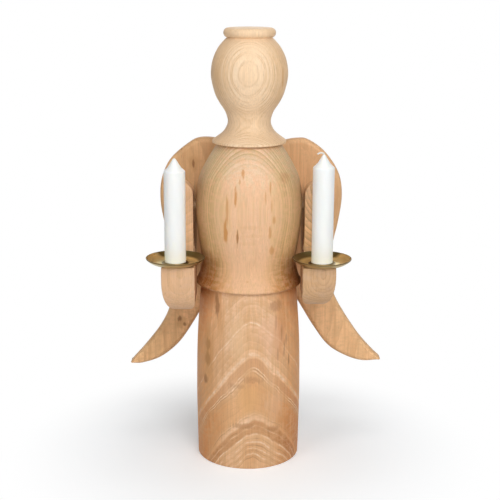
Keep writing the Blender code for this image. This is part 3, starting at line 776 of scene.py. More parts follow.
def mark_group():
    """One spindle-shaped mark, at a place and of a half size, with frayed ends: marks in the wood, and the
    painted shadow in the slot behind each arm.
    """
    tree, given, out = new_group(
        "grain mark and painted shade",
        [("Vector", "Vector", None), ("Place", "Vector", (0.0, 0.0, 0.0)),
         ("Half Size", "Vector", (0.01, 0.01, 0.01)),
         ("Fraying", "Float", 1.0)],
        [("Mask", "Float")])
    frayed = cloud(tree, stretched(tree, given["Vector"], (1.0, 1.0, 0.12)), 900.0, 2.0)
    ragged = cloud(tree, stretched(tree, given["Vector"], (1.0, 1.0, 0.4)), 260.0, 3.0)
    away = node(tree, "ShaderNodeVectorMath", {"operation": "SUBTRACT"},
                {0: given["Vector"], 1: given["Place"]}).outputs[0]
    away = node(tree, "ShaderNodeVectorMath", {"operation": "DIVIDE"},
                {0: away, 1: given["Half Size"]}).outputs[0]
    far = node(tree, "ShaderNodeVectorMath", {"operation": "LENGTH"}, {0: away}).outputs["Value"]
    both = calc(tree, "ADD", calc(tree, "MULTIPLY", calc(tree, "SUBTRACT", frayed, 0.5), 0.9),
                calc(tree, "MULTIPLY", calc(tree, "SUBTRACT", ragged, 0.5), 0.8))
    far = calc(tree, "ADD", far, calc(tree, "MULTIPLY", both, given["Fraying"]))
    tree.links.new(spread(tree, far, 0.45, 1.05, 1.0, 0.0), out["Mask"])
    return tree


RINGS = growth_rings_group()
FIBRE = fibre_group()
MARK = mark_group()
LINE = ring_line_group()


def plain_material(name):
    made = bpy.data.materials.new(name)
    made.use_nodes = True
    return made, made.node_tree, made.node_tree.nodes["Principled BSDF"]


def rgb(*values):
    return (*values, 1.0)


def wood(name, pale, late, streaked, patched, rings, late_part=0.5, tone_part=0.25, streak_part=0.35,
         patch_part=0.4, bands=(), lines=(), marks=(), flanks=(), lines_top=1.0,
         fray_part=0.03, mottle_part=0.25,
         mark_colour=rgb(0.30, 0.13, 0.05), roughness=0.56):
    """Bare sanded wood: rings, bands, lines, streaks, mottling, patches and marks over one pale colour."""
    made, tree, shader = plain_material(name)
    where = node(tree, "ShaderNodeTexCoord").outputs["Object"]
    ring = node(tree, "ShaderNodeGroup", {"node_tree": RINGS}, {"Vector": where, **rings}).outputs
    fibre = node(tree, "ShaderNodeGroup", {"node_tree": FIBRE}, {"Vector": where, "Fineness": 0.6}).outputs

    patch = spread(tree, fibre["Patch"], 0.38, 0.66)
    colour = blend_colour(tree, calc(tree, "MULTIPLY", patch, patch_part), pale, patched)
    # Flanks multiply the colour across and up: some are the wood's own tone, others painted light and painted
    # shade.
    if flanks:
        place = node(tree, "ShaderNodeSeparateXYZ", sockets={0: where}).outputs
        fray = calc(tree, "MULTIPLY", calc(tree, "SUBTRACT", fibre["Streak"], 0.5), fray_part)
        across = calc(tree, "ADD", calc(tree, "ABSOLUTE", place[0]), fray)
        up = calc(tree, "ADD", place[2], calc(tree, "MULTIPLY", fray, 3.0))
        for shade, inner, outer, clear_z, full_z in flanks:
            mask = calc(tree, "MULTIPLY", spread(tree, across, inner, outer),
                        spread(tree, up, clear_z, full_z))
            colour = blend_colour(tree, mask, colour, shade, "MULTIPLY")
    tone = calc(tree, "MULTIPLY", spread(tree, ring["Year Tone"], 0.25, 1.0), tone_part)
    colour = blend_colour(tree, tone, colour, late)
    if bands:
        ramp = node(tree, "ShaderNodeValToRGB",
                    sockets={0: calc(tree, "DIVIDE", ring["Distance"], bands[-1][0])})
        ramp.color_ramp.interpolation = "EASE"
        stops = ramp.color_ramp.elements
        stops[0].position, stops[1].position = bands[0][0] / bands[-1][0], 1.0
        stops[0].color, stops[1].color = bands[0][1], bands[-1][1]
        for distance, shade in bands[1:-1]:
            stop = stops.new(distance / bands[-1][0])
            stop.color = shade
        colour = blend_colour(tree, 1.0, colour, ramp.outputs[0], "MULTIPLY")
    colour = blend_colour(tree, calc(tree, "MULTIPLY", ring["Late Wood"], late_part), colour, late)
    if lines:
        below = spread(tree, node(tree, "ShaderNodeSeparateXYZ", sockets={0: where}).outputs[2],
                       lines_top, lines_top - LINES_FADE)
    for distance, half_width, strength, shade in lines:
        mask = node(tree, "ShaderNodeGroup", {"node_tree": LINE},
                    {"Vector": where, "Distance": ring["Distance"], "Ring": distance,
                     "Half Width": half_width})
        strength = calc(tree, "MULTIPLY", below, strength)
        colour = blend_colour(tree, calc(tree, "MULTIPLY", mask.outputs["Mask"], strength), colour, shade)
    streak = calc(tree, "MULTIPLY", spread(tree, fibre["Streak"], 0.45, 0.70), streak_part)
    colour = blend_colour(tree, streak, colour, streaked)
    mottle = spread(tree, cloud(tree, stretched(tree, where, (0.6, 0.6, 1.5)), 190.0, 4.0, 0.6), 0.42, 0.66)
    colour = blend_colour(tree, calc(tree, "MULTIPLY", mottle, mottle_part), colour, patched)
    fine = spread(tree, fibre["Fibre"], 0.30, 0.75, 0.90, 1.08, False)
    colour = blend_colour(tree, 1.0, colour, fine, "MULTIPLY")
    colour = blend_colour(tree, calc(tree, "MULTIPLY", fibre["Pores"], 0.35), colour, mark_colour)
    for mark in marks:
        place, half_size, strength = mark[:3]
        shade = mark[3] if len(mark) > 3 else mark_colour
        fraying = mark[4] if len(mark) > 4 else 1.0
        mask = node(tree, "ShaderNodeGroup", {"node_tree": MARK},
                    {"Vector": where, "Place": place, "Half Size": half_size,
                     "Fraying": fraying}).outputs["Mask"]
        colour = blend_colour(tree, calc(tree, "MULTIPLY", mask, strength), colour, shade)
    tree.links.new(colour, shader.inputs["Base Color"])

    rough = calc(tree, "ADD", calc(tree, "MULTIPLY", fibre["Fibre"], 0.16), roughness - 0.08)
    rough = calc(tree, "ADD", rough, calc(tree, "MULTIPLY", ring["Late Wood"], -0.08))
    tree.links.new(rough, shader.inputs["Roughness"])
    height = calc(tree, "ADD", calc(tree, "MULTIPLY", fibre["Fibre"], 0.5),
                  calc(tree, "MULTIPLY", ring["Late Wood"], 0.5))
    height = calc(tree, "SUBTRACT", height, calc(tree, "MULTIPLY", fibre["Pores"], 0.8))
    bump = node(tree, "ShaderNodeBump", sockets={"Height": height, "Distance": 0.00012, "Strength": 0.7})
    tree.links.new(bump.outputs[0], shader.inputs["Normal"])
    shader.inputs["Specular IOR Level"].default_value = 0.35
    return made


def grown(pith_x, pith_y, lean_x, lean_y, narrow, start, year, wander, pointed=0.0, skew=0.0):
    """The growth rings' own values, by the names of the group's sockets."""
    return {"Pith X": pith_x, "Pith Y": pith_y, "Lean X": lean_x, "Lean Y": lean_y, "Narrowness": narrow,
            "Pointedness": pointed, "Skew": skew, "Start": start, "Year": year, "Wander": wander}


def head_wood():
    lean = 0.04
    brown, cream = rgb(0.58, 0.34, 0.16), rgb(0.93, 0.74, 0.54)
    lines = [
        (0.15110, 0.00050, 0.60, brown), (0.15150, 0.00100, 0.35, cream), (0.15260, 0.00110, 0.35, cream),
        (0.15400, 0.00040, 0.50, brown), (0.15480, 0.00045, 0.40, brown), (0.15590, 0.00100, 0.40, cream),
        (0.15720, 0.00050, 0.55, brown), (0.15860, 0.00090, 0.35, cream), (0.15950, 0.00050, 0.40, brown),
        (0.16130, 0.00060, 0.50, brown), (0.16250, 0.00080, 0.30, cream), (0.16400, 0.00070, 0.40, brown),
        (0.16600, 0.00080, 0.35, brown), (0.16850, 0.00090, 0.40, brown), (0.17130, 0.00110, 0.45, brown),
        (0.17500, 0.00100, 0.40, brown), (0.17900, 0.00110, 0.40, brown), (0.18400, 0.00120, 0.40, brown),
    ]
    return wood("head wood", rgb(0.87, 0.63, 0.41), rgb(0.70, 0.45, 0.24), rgb(0.76, 0.51, 0.29),
                rgb(0.80, 0.56, 0.34),
                grown(-0.0050, -0.1895 - lean * 0.4125, 0.0, lean, 1.0, 0.1600, 0.0019, 0.0008),
                late_part=0.10, tone_part=0.08, streak_part=0.20, patch_part=0.40,
                lines=lines, lines_top=0.4530,
                marks=[((0.0338, -0.0185, 0.4130), (0.0012, 0.0100, 0.0150), 0.55, rgb(0.62, 0.30, 0.10)),
                       ((-0.0330, -0.0180, 0.4150), (0.0050, 0.0120, 0.0160), 0.40, rgb(0.74, 0.46, 0.22)),
                       ((0.0310, -0.0170, 0.3950), (0.0050, 0.0120, 0.0140), 0.35, rgb(0.76, 0.47, 0.23))],
                flanks=[(rgb(0.97, 0.91, 0.82), 0.014, 0.034, 0.0, 0.1)])


def bodice_wood():
    lean = 0.01
    orange, brown, ripple = rgb(0.56, 0.25, 0.07), rgb(0.40, 0.18, 0.06), rgb(0.62, 0.34, 0.16)
    marks = [
        ((-0.0135, -0.0545, 0.2974), (0.0018, 0.0080, 0.0110), 0.85, orange),
        ((-0.0236, -0.0500, 0.2600), (0.0030, 0.0080, 0.0170), 0.90, orange),
        ((-0.0220, -0.0500, 0.2810), (0.0016, 0.0080, 0.0230), 0.60, orange),
        ((-0.0115, -0.0530, 0.2543), (0.0014, 0.0080, 0.0115), 0.95, brown),
        ((-0.0060, -0.0500, 0.3218), (0.0022, 0.0080, 0.0070), 0.70, orange),
        ((-0.0095, -0.0500, 0.3120), (0.0012, 0.0080, 0.0040), 0.50, orange),
        ((0.0258, -0.0480, 0.2730), (0.0022, 0.0080, 0.0055), 0.60, orange),
        ((0.0217, -0.0490, 0.2610), (0.0020, 0.0080, 0.0085), 0.65, orange),
        ((0.0217, -0.0500, 0.3060), (0.0012, 0.0080, 0.0080), 0.70, orange),
        ((0.0170, -0.0500, 0.2960), (0.0012, 0.0080, 0.0080), 0.55, orange),
        ((0.0232, -0.0500, 0.2880), (0.0010, 0.0080, 0.0080), 0.45, orange),
        ((0.0240, -0.0490, 0.2400), (0.0034, 0.0080, 0.0060), 0.65, orange),
        ((0.0380, -0.0390, 0.3160), (0.0080, 0.0120, 0.0090), 0.40, brown),
        ((0.0000, -0.0560, 0.2660), (0.0120, 0.0080, 0.0028), 0.22, ripple),
        ((0.0050, -0.0560, 0.2570), (0.0130, 0.0080, 0.0026), 0.22, ripple),
        ((-0.0010, -0.0540, 0.2485), (0.0120, 0.0080, 0.0026), 0.20, ripple),
        ((-0.0010, -0.0540, 0.2080), (0.0020, 0.0080, 0.0020), 0.40, orange),
    ]
    flanks = [
        (rgb(0.93, 0.95, 0.82), 0.014, 0.036, 0.0, 0.1), (rgb(0.84, 0.66, 0.46), 0.010, 0.040, 0.255, 0.205),
        (rgb(0.76, 0.45, 0.22), 0.022, 0.046, 0.236, 0.200),
        (rgb(0.95, 0.91, 0.84), *EVERYWHERE, 0.250, 0.210),
        (rgb(1.02, 1.17, 1.30), *EVERYWHERE, 0.300, 0.325),
    ]
    return wood("bodice wood", rgb(0.785, 0.490, 0.295), rgb(0.43, 0.28, 0.10), rgb(0.68, 0.42, 0.19),
                rgb(0.78, 0.45, 0.26),
                grown(-0.0040, -0.2400 - lean * 0.2760, 0.0, lean, 1.0, 0.1945, 0.0028, 0.0011),
                late_part=0.90, tone_part=0.25, streak_part=0.34, patch_part=0.4, marks=marks,
                mottle_part=0.45, flanks=flanks, mark_colour=rgb(0.42, 0.20, 0.07))


def skirt_wood():
    lean, reach = 0.955, 0.2162
    far = {height: reach - lean * height / 1000.0 for height in (
        0, 15, 19, 23, 26, 30, 34, 38, 43, 46, 49, 52, 55, 57, 60, 63, 65, 72, 88, 96, 106, 109,
        111, 113, 115, 117,
        121, 126, 129, 132, 135, 139, 150, 168, 171, 174, 190, 205)}
    pale, dark, plain = rgb(1.12, 1.16, 1.22), rgb(0.78, 0.66, 0.54), rgb(1.0, 1.0, 1.0)
    warm, pink = rgb(0.96, 0.84, 0.68), rgb(0.90, 0.82, 0.78)
    bands = [
        (far[205], plain), (far[190], plain), (far[174], rgb(0.96, 0.93, 0.90)), (far[168], plain),
        (far[150], plain),
        (far[139], rgb(1.02, 1.02, 1.02)), (far[135], pale), (far[129], pale),
        (far[126], pink), (far[117], pink),
        (far[113], plain), (far[106], rgb(0.97, 0.92, 0.84)), (far[96], warm),
        (far[72], warm), (far[63], plain),
        (far[60], pale), (far[57], dark), (far[46], dark), (far[43], plain), (far[0], plain),
    ]
    ink, cream = rgb(0.32, 0.15, 0.055), rgb(0.97, 0.79, 0.58)
    lines = [
        (far[171], 0.0014, 0.50, cream), (far[132], 0.0040, 0.45, cream), (far[115], 0.0010, 0.60, cream),
        (far[113], 0.0008, 0.70, ink), (far[111], 0.0010, 0.55, cream), (far[109], 0.0008, 0.60, ink),
        (far[65], 0.0010, 0.55, ink), (far[55], 0.0009, 0.50, ink), (far[52], 0.0010, 0.40, cream),
        (far[49], 0.0008, 0.50, ink), (far[43], 0.0015, 0.60, cream), (far[38], 0.0009, 0.55, ink),
        (far[34], 0.0016, 0.55, cream), (far[30], 0.0009, 0.50, ink), (far[26], 0.0010, 0.40, cream),
        (far[23], 0.0009, 0.45, ink), (far[19], 0.0015, 0.50, cream), (far[15], 0.0009, 0.40, ink),
    ]
    deep, umber = rgb(0.30, 0.13, 0.05), rgb(0.40, 0.19, 0.08)
    marks = [
        ((-0.0430, -0.0368, 0.1346), (0.0036, 0.0090, 0.0085), 0.85),
        ((-0.0435, -0.0364, 0.1194), (0.0042, 0.0090, 0.0100), 0.90),
        ((-0.0455, -0.0332, 0.0950), (0.0028, 0.0090, 0.0065), 0.70),
        ((-0.0330, -0.0440, 0.1800), (0.0034, 0.0120, 0.0150), 0.75, deep),
        ((0.0330, -0.0450, 0.1450), (0.0090, 0.0120, 0.0300), 0.50, rgb(0.60, 0.27, 0.11)),
        ((-0.0425, -0.0378, 0.1250), (0.0080, 0.0140, 0.0400), 0.55, rgb(0.58, 0.29, 0.10)),
        ((0.0300, -0.0460, 0.1800), (0.0100, 0.0120, 0.0080), 0.45, deep),
        ((0.0290, -0.0470, 0.1620), (0.0014, 0.0080, 0.0110), 0.45, deep),
        ((0.0350, -0.0430, 0.1500), (0.0012, 0.0080, 0.0120), 0.45, deep),
        ((0.0380, -0.0400, 0.1320), (0.0014, 0.0080, 0.0110), 0.45, deep),
        ((0.0310, -0.0460, 0.1280), (0.0012, 0.0080, 0.0080), 0.40, deep),
        ((0.0430, -0.0360, 0.1180), (0.0010, 0.0080, 0.0080), 0.60, deep),
        ((0.0400, -0.0390, 0.1420), (0.0012, 0.0080, 0.0080), 0.40, deep),
        ((0.0030, -0.0560, 0.1010), (0.0120, 0.0090, 0.0046), 0.38, umber, 1.9),
        ((-0.0120, -0.0550, 0.0945), (0.0100, 0.0090, 0.0040), 0.38, umber, 1.9),
        ((0.0000, -0.0560, 0.0800), (0.0150, 0.0100, 0.0210), 0.50, rgb(0.68, 0.37, 0.15)),
        ((0.0280, -0.0490, 0.0700), (0.0160, 0.0120, 0.0200), 0.28, rgb(0.74, 0.47, 0.31), 1.6),
        ((0.0260, -0.0500, 0.0440), (0.0120, 0.0100, 0.0040), 0.45, umber, 1.5),
        ((-0.0050, -0.0560, 0.0500), (0.0160, 0.0100, 0.0040), 0.45, umber, 1.5),
        ((0.0250, -0.0500, 0.1480), (0.0180, 0.0120, 0.0300), 0.40, rgb(0.74, 0.43, 0.27), 1.5),
        ((-0.0120, -0.0560, 0.1500), (0.0120, 0.0120, 0.0320), 0.35, rgb(0.82, 0.56, 0.33)),
    ]
    flanks = [(rgb(0.93, 0.69, 0.43), 0.020, 0.050, *EVERYWHERE),
              (rgb(0.88, 0.72, 0.54), 0.020, 0.046, 0.120, 0.190),
              (rgb(0.92, 0.86, 0.78), *EVERYWHERE, 0.060, 0.020)]
    return wood("skirt wood", rgb(0.83, 0.540, 0.330), rgb(0.52, 0.28, 0.12), rgb(0.62, 0.35, 0.16),
                rgb(0.66, 0.36, 0.17),
                grown(0.0030, 0.1600, 0.0, -lean, 0.0, 0.0, 0.0046, 0.0200, pointed=0.700, skew=0.180),
                late_part=0.30, tone_part=0.26, streak_part=0.45, patch_part=0.70, bands=bands, lines=lines,
                marks=marks, mottle_part=0.50, flanks=flanks, mark_colour=rgb(0.27, 0.105, 0.032))


def arm_wood(side):
    pith_x = {"left": -0.0700, "right": 0.0765}[side]
    ring_part = {"left": 0.30, "right": 0.75}[side]
    # Painted light: lit lightens the arm's inner strip beside the candle against the candle's shadow, most on
    # the right arm.
    lit = {"left": rgb(1.18, 1.18, 1.15), "right": rgb(1.66, 1.70, 1.70)}[side]
    lean = 0.55
    face_y, eye_z = FOREARM_FRONT_Y, 0.2200
    look = {
        "left": dict(pale=rgb(0.76, 0.47, 0.27), late=rgb(0.54, 0.30, 0.14), streaked=rgb(0.60, 0.35, 0.18),
                     patched=rgb(0.68, 0.43, 0.27)),
        "right": dict(pale=rgb(0.65, 0.395, 0.205), late=rgb(0.46, 0.26, 0.12),
                      streaked=rgb(0.52, 0.31, 0.15), patched=rgb(0.60, 0.39, 0.25)),
    }[side]
    return wood("arm wood " + side, **look,
                rings=grown(pith_x, face_y - lean * eye_z, 0.0, lean, 1.0, -0.01, 0.0034, 0.0030),
                late_part=ring_part, tone_part=0.30, streak_part=0.40, patch_part=0.60,
                mottle_part=0.45, fray_part=0.002,
                # Painted shade: the inner faces of the upper arm and of the forearm are darkened where they
                # face the bodice.
                flanks=[(rgb(0.16, 0.09, 0.06), ARM_INNER_X + 0.0010, ARM_INNER_X - 0.0002, 0.224, 0.232),
                        (lit, ARM_INNER_X + 0.0160, ARM_INNER_X + 0.0080, 0.224, 0.232),
                        (rgb(0.35, 0.22, 0.15), FOREARM_INNER_X + 0.0010, FOREARM_INNER_X - 0.0002,
                         0.230, 0.222)])


def wing_wood(side):
    """Streaky wood. A faint dark streak stands in for the shadow in the slot behind the arm."""
    look = {
        "left": dict(pale=rgb(0.80, 0.47, 0.235), late=rgb(0.50, 0.25, 0.11), streaked=rgb(0.58, 0.31, 0.13),
                     patched=rgb(0.62, 0.36, 0.17)),
        "right": dict(pale=rgb(0.80, 0.47, 0.24), late=rgb(0.54, 0.27, 0.11), streaked=rgb(0.60, 0.32, 0.14),
                      patched=rgb(0.66, 0.40, 0.20)),
    }[side]
    # Dark brown marks on the left wing: a broad patch with dark flecks just above the arm beside the bodice,
    # and a like group low on the wing.
    marks = [
        ((-0.0737, 0.0460, 0.3320), (0.0010, 0.0100, 0.0030), 0.7),
        ((-0.0608, 0.0460, 0.3155), (0.0070, 0.0100, 0.0130), 0.45, rgb(0.48, 0.25, 0.09)),
        ((-0.0608, 0.0460, 0.3155), (0.0020, 0.0100, 0.0060), 0.8),
        ((-0.0750, 0.0460, 0.1340), (0.0090, 0.0100, 0.0100), 0.45, rgb(0.48, 0.25, 0.09)),
        ((-0.0778, 0.0460, 0.1382), (0.0032, 0.0100, 0.0040), 0.8),
        ((-0.0721, 0.0460, 0.1313), (0.0026, 0.0100, 0.0030), 0.7),
    ]
    # Painted shadow: a thin dark streak on the wing's front where the slot between arm and bodice shows it.
    painted_slot_shadow = [((SIDES[side] * 0.0596, 0.0445, 0.2500), (0.0030, 0.0090, 0.0520), 0.60,
             rgb(0.035, 0.014, 0.006), 0.2)]
    pith_x = {"left": -0.040, "right": 0.055}[side]
    return wood("wing wood " + side, **look,
                rings=grown(pith_x, 0.1400, 0.05, -0.06, 0.8, 0.0, 0.0040, 0.0080),
                late_part=0.40, tone_part=0.24, streak_part=0.50, patch_part=0.8, mottle_part=0.45,
                marks=marks + painted_slot_shadow if side == "left" else painted_slot_shadow,
                mark_colour=rgb(0.24, 0.10, 0.035), roughness=0.6,
                # Painted light: the lower part of each wing is lightened, below the forearms.
                flanks=[(rgb(1.16, 1.19, 1.19), *EVERYWHERE, 0.205, 0.165)])


# Painted shade: the pegs are coloured dark brown, for where one shows in the slot between arm and bodice.
def dowel_wood():
    return wood("dowel wood", rgb(0.34, 0.20, 0.10), rgb(0.24, 0.13, 0.06), rgb(0.28, 0.16, 0.08),
                rgb(0.30, 0.18, 0.09), grown(0.02, 0.03, 0.0, 0.0, 1.0, 0.0, 0.0014, 0.0010))


def pan_brass():
    """Polished brass, lightly specked, with painted dark reflections: olive up the rear wall of each dish
    beside the body, near-black round the collar's foot and at the rim, and brown across the front of the
    dish.
    """
    made, tree, shader = plain_material("pan brass")
    where = node(tree, "ShaderNodeTexCoord").outputs["Object"]
    place = node(tree, "ShaderNodeSeparateXYZ", sockets={0: where}).outputs
    across, depth = candle_place("right")
    patch = spread(tree, cloud(tree, where, 60.0, 2.0, 0.5), 0.35, 0.75)
    colour = blend_colour(tree, calc(tree, "MULTIPLY", patch, 0.35), rgb(0.80, 0.70, 0.38),
                          rgb(0.70, 0.56, 0.27))
    specks = spread(tree, cloud(tree, where, 1300.0, 2.0), 0.68, 0.76)
    colour = blend_colour(tree, calc(tree, "MULTIPLY", specks, 0.4), colour, rgb(0.20, 0.13, 0.04))
    # Painted reflection: dark olive up the rear wall of each dish on its body side, where the brass mirrors
    # the shaded slot by the torso.
    inboard = calc(tree, "SUBTRACT", across, calc(tree, "ABSOLUTE", place[0]))
    behind = calc(tree, "ADD", calc(tree, "SUBTRACT", place[1], depth), calc(tree, "MULTIPLY", inboard, 0.45))
    rear = spread(tree, behind, 0.0080, 0.0150)
    floor = FOREARM_TOP_Z + GAP + PAN_SHEET
    wall = spread(tree, place[2], floor + 0.0004, floor + 0.0022)
    painted_reflection = calc(tree, "MULTIPLY", calc(tree, "MULTIPLY", rear, wall), 0.92)
    colour = blend_colour(tree, painted_reflection, colour, rgb(0.085, 0.066, 0.018))
    out_x, out_y = calc(tree, "MULTIPLY", inboard, inboard), calc(tree, "SUBTRACT", place[1], depth)
    radius = calc(tree, "SQRT", calc(tree, "ADD", out_x, calc(tree, "MULTIPLY", out_y, out_y)))
    # Painted reflection: near-black rings round the collar's foot and at the rim, and a dark band across the
    # front of the dish.
    foot = spread(tree, radius, CUP_OUTER_R + 0.0016, CUP_OUTER_R + 0.0028, 0.85, 0.0)
    rim = spread(tree, radius, PAN_R - 0.0009, PAN_R - 0.0002)
    colour = blend_colour(tree, calc(tree, "MAXIMUM", foot, rim), colour, rgb(0.08, 0.045, 0.018))
    front = calc(tree, "MULTIPLY", spread(tree, out_y, -0.0090, -0.0150),
                 spread(tree, radius, 0.0195, 0.0225))
    colour = blend_colour(tree, calc(tree, "MULTIPLY", front, 0.55), colour, rgb(0.22, 0.15, 0.06))
    tree.links.new(colour, shader.inputs["Base Color"])
    rough = calc(tree, "ADD", calc(tree, "MULTIPLY", patch, 0.06), calc(tree, "MULTIPLY", specks, 0.2))
    tree.links.new(calc(tree, "ADD", rough, 0.30), shader.inputs["Roughness"])
    shader.inputs["Metallic"].default_value = 1.0
    wavy = cloud(tree, where, 420.0, 2.0)
    bump = node(tree, "ShaderNodeBump", sockets={"Height": wavy, "Distance": 0.00005, "Strength": 0.4})
    tree.links.new(bump.outputs[0], shader.inputs["Normal"])
    return made


def candle_wax():
    """White wax, creamier and lighter towards its foot, faintly uneven; the lightening at the foot is painted
    light against the shade in the pan.
    """
    made, tree, shader = plain_material("candle wax")
    where = node(tree, "ShaderNodeTexCoord").outputs["Object"]
    up = node(tree, "ShaderNodeSeparateXYZ", sockets={0: where}).outputs[2]
    # Painted light and tint: towards the foot the wax is made creamier and lighter, the lightening against
    # the shade in the pan.
    foot = spread(tree, up, FOREARM_TOP_Z, FOREARM_TOP_Z + 0.045, 1.0, 0.0)
    haze = cloud(tree, stretched(tree, where, (1.0, 1.0, 0.3)), 120.0, 3.0)
    colour = blend_colour(tree, calc(tree, "MULTIPLY", foot, 0.6), rgb(0.875, 0.885, 0.865),
                          rgb(0.92, 0.91, 0.87))
    colour = blend_colour(tree, spread(tree, haze, 0.35, 0.75, 0.0, 0.35), colour, rgb(0.80, 0.81, 0.80))
    tree.links.new(colour, shader.inputs["Base Color"])
    tree.links.new(spread(tree, haze, 0.3, 0.7, 0.34, 0.46), shader.inputs["Roughness"])
    shader.inputs["Subsurface Weight"].default_value = 0.35
    shader.inputs["Subsurface Radius"].default_value = (0.006, 0.005, 0.004)
    shader.inputs["Subsurface Scale"].default_value = 1.0
    ripple = cloud(tree, stretched(tree, where, (1.0, 1.0, 0.15)), 300.0, 2.0)
    bump = node(tree, "ShaderNodeBump", sockets={"Height": ripple, "Distance": 0.0001, "Strength": 0.4})
    tree.links.new(bump.outputs[0], shader.inputs["Normal"])
    return made


def wick_cotton():
    made, tree, shader = plain_material("wick cotton")
    where = node(tree, "ShaderNodeTexCoord").outputs["Object"]
    fluff = cloud(tree, where, 2600.0, 3.0)
    colour = blend_colour(tree, fluff, rgb(0.90, 0.88, 0.84), rgb(0.70, 0.66, 0.58))
    tree.links.new(colour, shader.inputs["Base Color"])
    tree.links.new(spread(tree, fluff, 0.0, 1.0, 0.75, 0.95), shader.inputs["Roughness"])
    bump = node(tree, "ShaderNodeBump", sockets={"Height": fluff, "Distance": 0.0001, "Strength": 0.6})
    tree.links.new(bump.outputs[0], shader.inputs["Normal"])
    return made


def screw_steel():
    """Zinc-plated steel, scratched across and dulled in patches."""
    made, tree, shader = plain_material("screw steel")
    where = node(tree, "ShaderNodeTexCoord").outputs["Object"]
    scratch = cloud(tree, stretched(tree, where, (1.0, 1.0, 0.08)), 2400.0, 3.0)
    dull = spread(tree, cloud(tree, where, 500.0, 3.0), 0.4, 0.7)
    colour = blend_colour(tree, calc(tree, "MULTIPLY", dull, 0.7), rgb(0.62, 0.60, 0.55),
                          rgb(0.34, 0.31, 0.26))
    tree.links.new(colour, shader.inputs["Base Color"])
    tree.links.new(spread(tree, scratch, 0.2, 0.8, 0.26, 0.46), shader.inputs["Roughness"])
    shader.inputs["Metallic"].default_value = 1.0
    bump = node(tree, "ShaderNodeBump", sockets={"Height": scratch, "Distance": 0.00003, "Strength": 0.5})
    tree.links.new(bump.outputs[0], shader.inputs["Normal"])
    return made


FLOOR_LIFT = 0.22
FLOOR_NEAR = 0.09
FLOOR_FAR = 0.27
WORLD_LIGHT = 0.06
FLOOR_SIZE = 12.0
FLOOR_PAPER = rgb(0.895, 0.925, 0.950)


def floor_and_world():
    """A pale floor that keeps the shadows and meets a white background."""
    deselect()
    bpy.ops.mesh.primitive_plane_add(size=FLOOR_SIZE, location=(0.0, 0.0, 0.0))
    floor = current("floor")
    made, tree, shader = plain_material("floor paper")
    shader.inputs["Base Color"].default_value = FLOOR_PAPER
    shader.inputs["Roughness"].default_value = 0.9
    shader.inputs["Specular IOR Level"].default_value = 0.1
    where = node(tree, "ShaderNodeTexCoord").outputs["Object"]
    far = node(tree, "ShaderNodeVectorMath", {"operation": "LENGTH"}, {0: where}).outputs["Value"]
    away = spread(tree, far, FLOOR_NEAR, FLOOR_FAR)
    lift = node(tree, "ShaderNodeEmission", sockets={"Color": rgb(1.0, 1.0, 1.0), "Strength": FLOOR_LIFT})
    paths = node(tree, "ShaderNodeLightPath").outputs
    seen = calc(tree, "MAXIMUM", paths["Is Camera Ray"], paths["Is Glossy Ray"])
    nothing = node(tree, "ShaderNodeEmission", sockets={"Color": rgb(0.0, 0.0, 0.0), "Strength": 0.0})
    chosen = node(tree, "ShaderNodeMixShader", sockets={0: seen, 1: nothing.outputs[0], 2: lift.outputs[0]})
    both = node(tree, "ShaderNodeAddShader", sockets={0: shader.outputs[0], 1: chosen.outputs[0]})
    paper = node(tree, "ShaderNodeEmission", sockets={"Color": rgb(1.0, 1.0, 1.0), "Strength": 1.0})
    fade = calc(tree, "MULTIPLY", away, seen)
    both = node(tree, "ShaderNodeMixShader", sockets={0: fade, 1: both.outputs[0], 2: paper.outputs[0]})
    tree.links.new(both.outputs[0], tree.nodes["Material Output"].inputs["Surface"])
    floor.data.materials.append(made)

    world = bpy.data.worlds.new("studio")
    bpy.context.scene.world = world
    world.use_nodes = True
    tree = world.node_tree
    tree.nodes.clear()
    paths = node(tree, "ShaderNodeLightPath").outputs
    shown = calc(tree, "MAXIMUM", paths["Is Camera Ray"], paths["Is Glossy Ray"])
    lit = node(tree, "ShaderNodeBackground", sockets={"Color": rgb(1.0, 1.0, 1.0), "Strength": WORLD_LIGHT})
    seen = node(tree, "ShaderNodeBackground", sockets={"Color": rgb(1.0, 1.0, 1.0), "Strength": 1.0})
    chosen = node(tree, "ShaderNodeMixShader", sockets={0: shown, 1: lit.outputs[0], 2: seen.outputs[0]})
    node(tree, "ShaderNodeOutputWorld", sockets={"Surface": chosen.outputs[0]})


LAMPS = [
    ("key", (0.34, -1.50, 1.25), 1.2, 19.5),
    ("left", (-1.10, -1.25, 0.80), 0.8, 6.6),
    ("right", (1.20, -1.10, 0.75), 0.8, 4.5),
    ("top", (0.00, -0.10, 1.55), 0.8, 3.5),
    ("back", (0.30, 1.50, 0.90), 1.0, 3.0),
]
LOOK_AT = Vector((0.0, 0.0, 0.24))


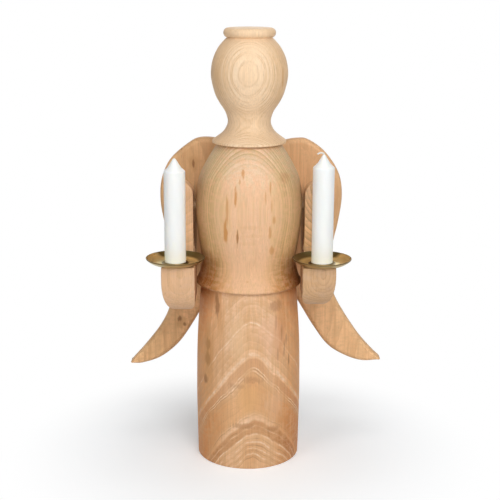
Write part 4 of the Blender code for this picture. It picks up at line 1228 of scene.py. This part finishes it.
def lamps():
    for name, place, size, power in LAMPS:
        light = bpy.data.lights.new(name, "AREA")
        light.shape = "DISK"
        light.size = size
        light.energy = power
        made = bpy.data.objects.new(name, light)
        bpy.context.scene.collection.objects.link(made)
        made.location = place
        made.rotation_euler = (LOOK_AT - Vector(place)).to_track_quat("-Z", "Y").to_euler()


CAMERA_PLACE = (0.0013, -1.166, 0.519)
CAMERA_DOWN = 13.97
CAMERA_ROLL = 0.25
CAMERA_LENS = 80.64
SENSOR_WIDTH = 36.0


def camera():
    lens = bpy.data.cameras.new("camera")
    lens.sensor_width = SENSOR_WIDTH
    lens.lens = CAMERA_LENS
    made = bpy.data.objects.new("camera", lens)
    bpy.context.scene.collection.objects.link(made)
    made.location = CAMERA_PLACE
    tilt = Matrix.Rotation(math.radians(90.0 - CAMERA_DOWN), 3,
                           "X") @ Matrix.Rotation(math.radians(CAMERA_ROLL), 3, "Z")
    made.rotation_euler = tilt.to_euler()
    bpy.context.scene.camera = made


bpy.context.scene.view_settings.view_transform = "Standard"
camera()
floor_and_world()
lamps()

smooth(finish_piece(skirt_piece(), skirt_wood(), "skirt_wood", "skirt"))
smooth(finish_piece(bodice_piece(), bodice_wood(), "bodice_wood", "bodice"))
smooth(finish_piece(head_piece(), head_wood(), "head_wood", "head"))

brass, wax, cotton, steel = pan_brass(), candle_wax(), wick_cotton(), screw_steel()
for side in SIDES:
    finish_piece(arm_piece(side), arm_wood(side), "arm_wood", "arm_" + side)
    smooth(finish_piece(pan_piece(side), brass, "pan_brass", "drip_pan_" + side))
    smooth(finish_piece(candle_piece(side), wax, "candle_wax", "candle_" + side))
    finish_piece(wick_piece(side), cotton, "wick_cotton", "wick_" + side)
    smooth(finish_piece(wing_piece(side), wing_wood(side), "wing_wood", "wing_" + side))
    for place in SCREW_PLACES:
        name = "wing_screw_" + side + "_" + place
        smooth(finish_piece(screw_piece(side, place), steel, "screw_steel", name))

pegs = dowel_wood()
for name in ("body_dowel", "neck_dowel", "shoulder_dowel_left", "shoulder_dowel_right"):
    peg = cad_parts[name]
    peg.data.materials.clear()
    peg.data.materials.append(pegs)
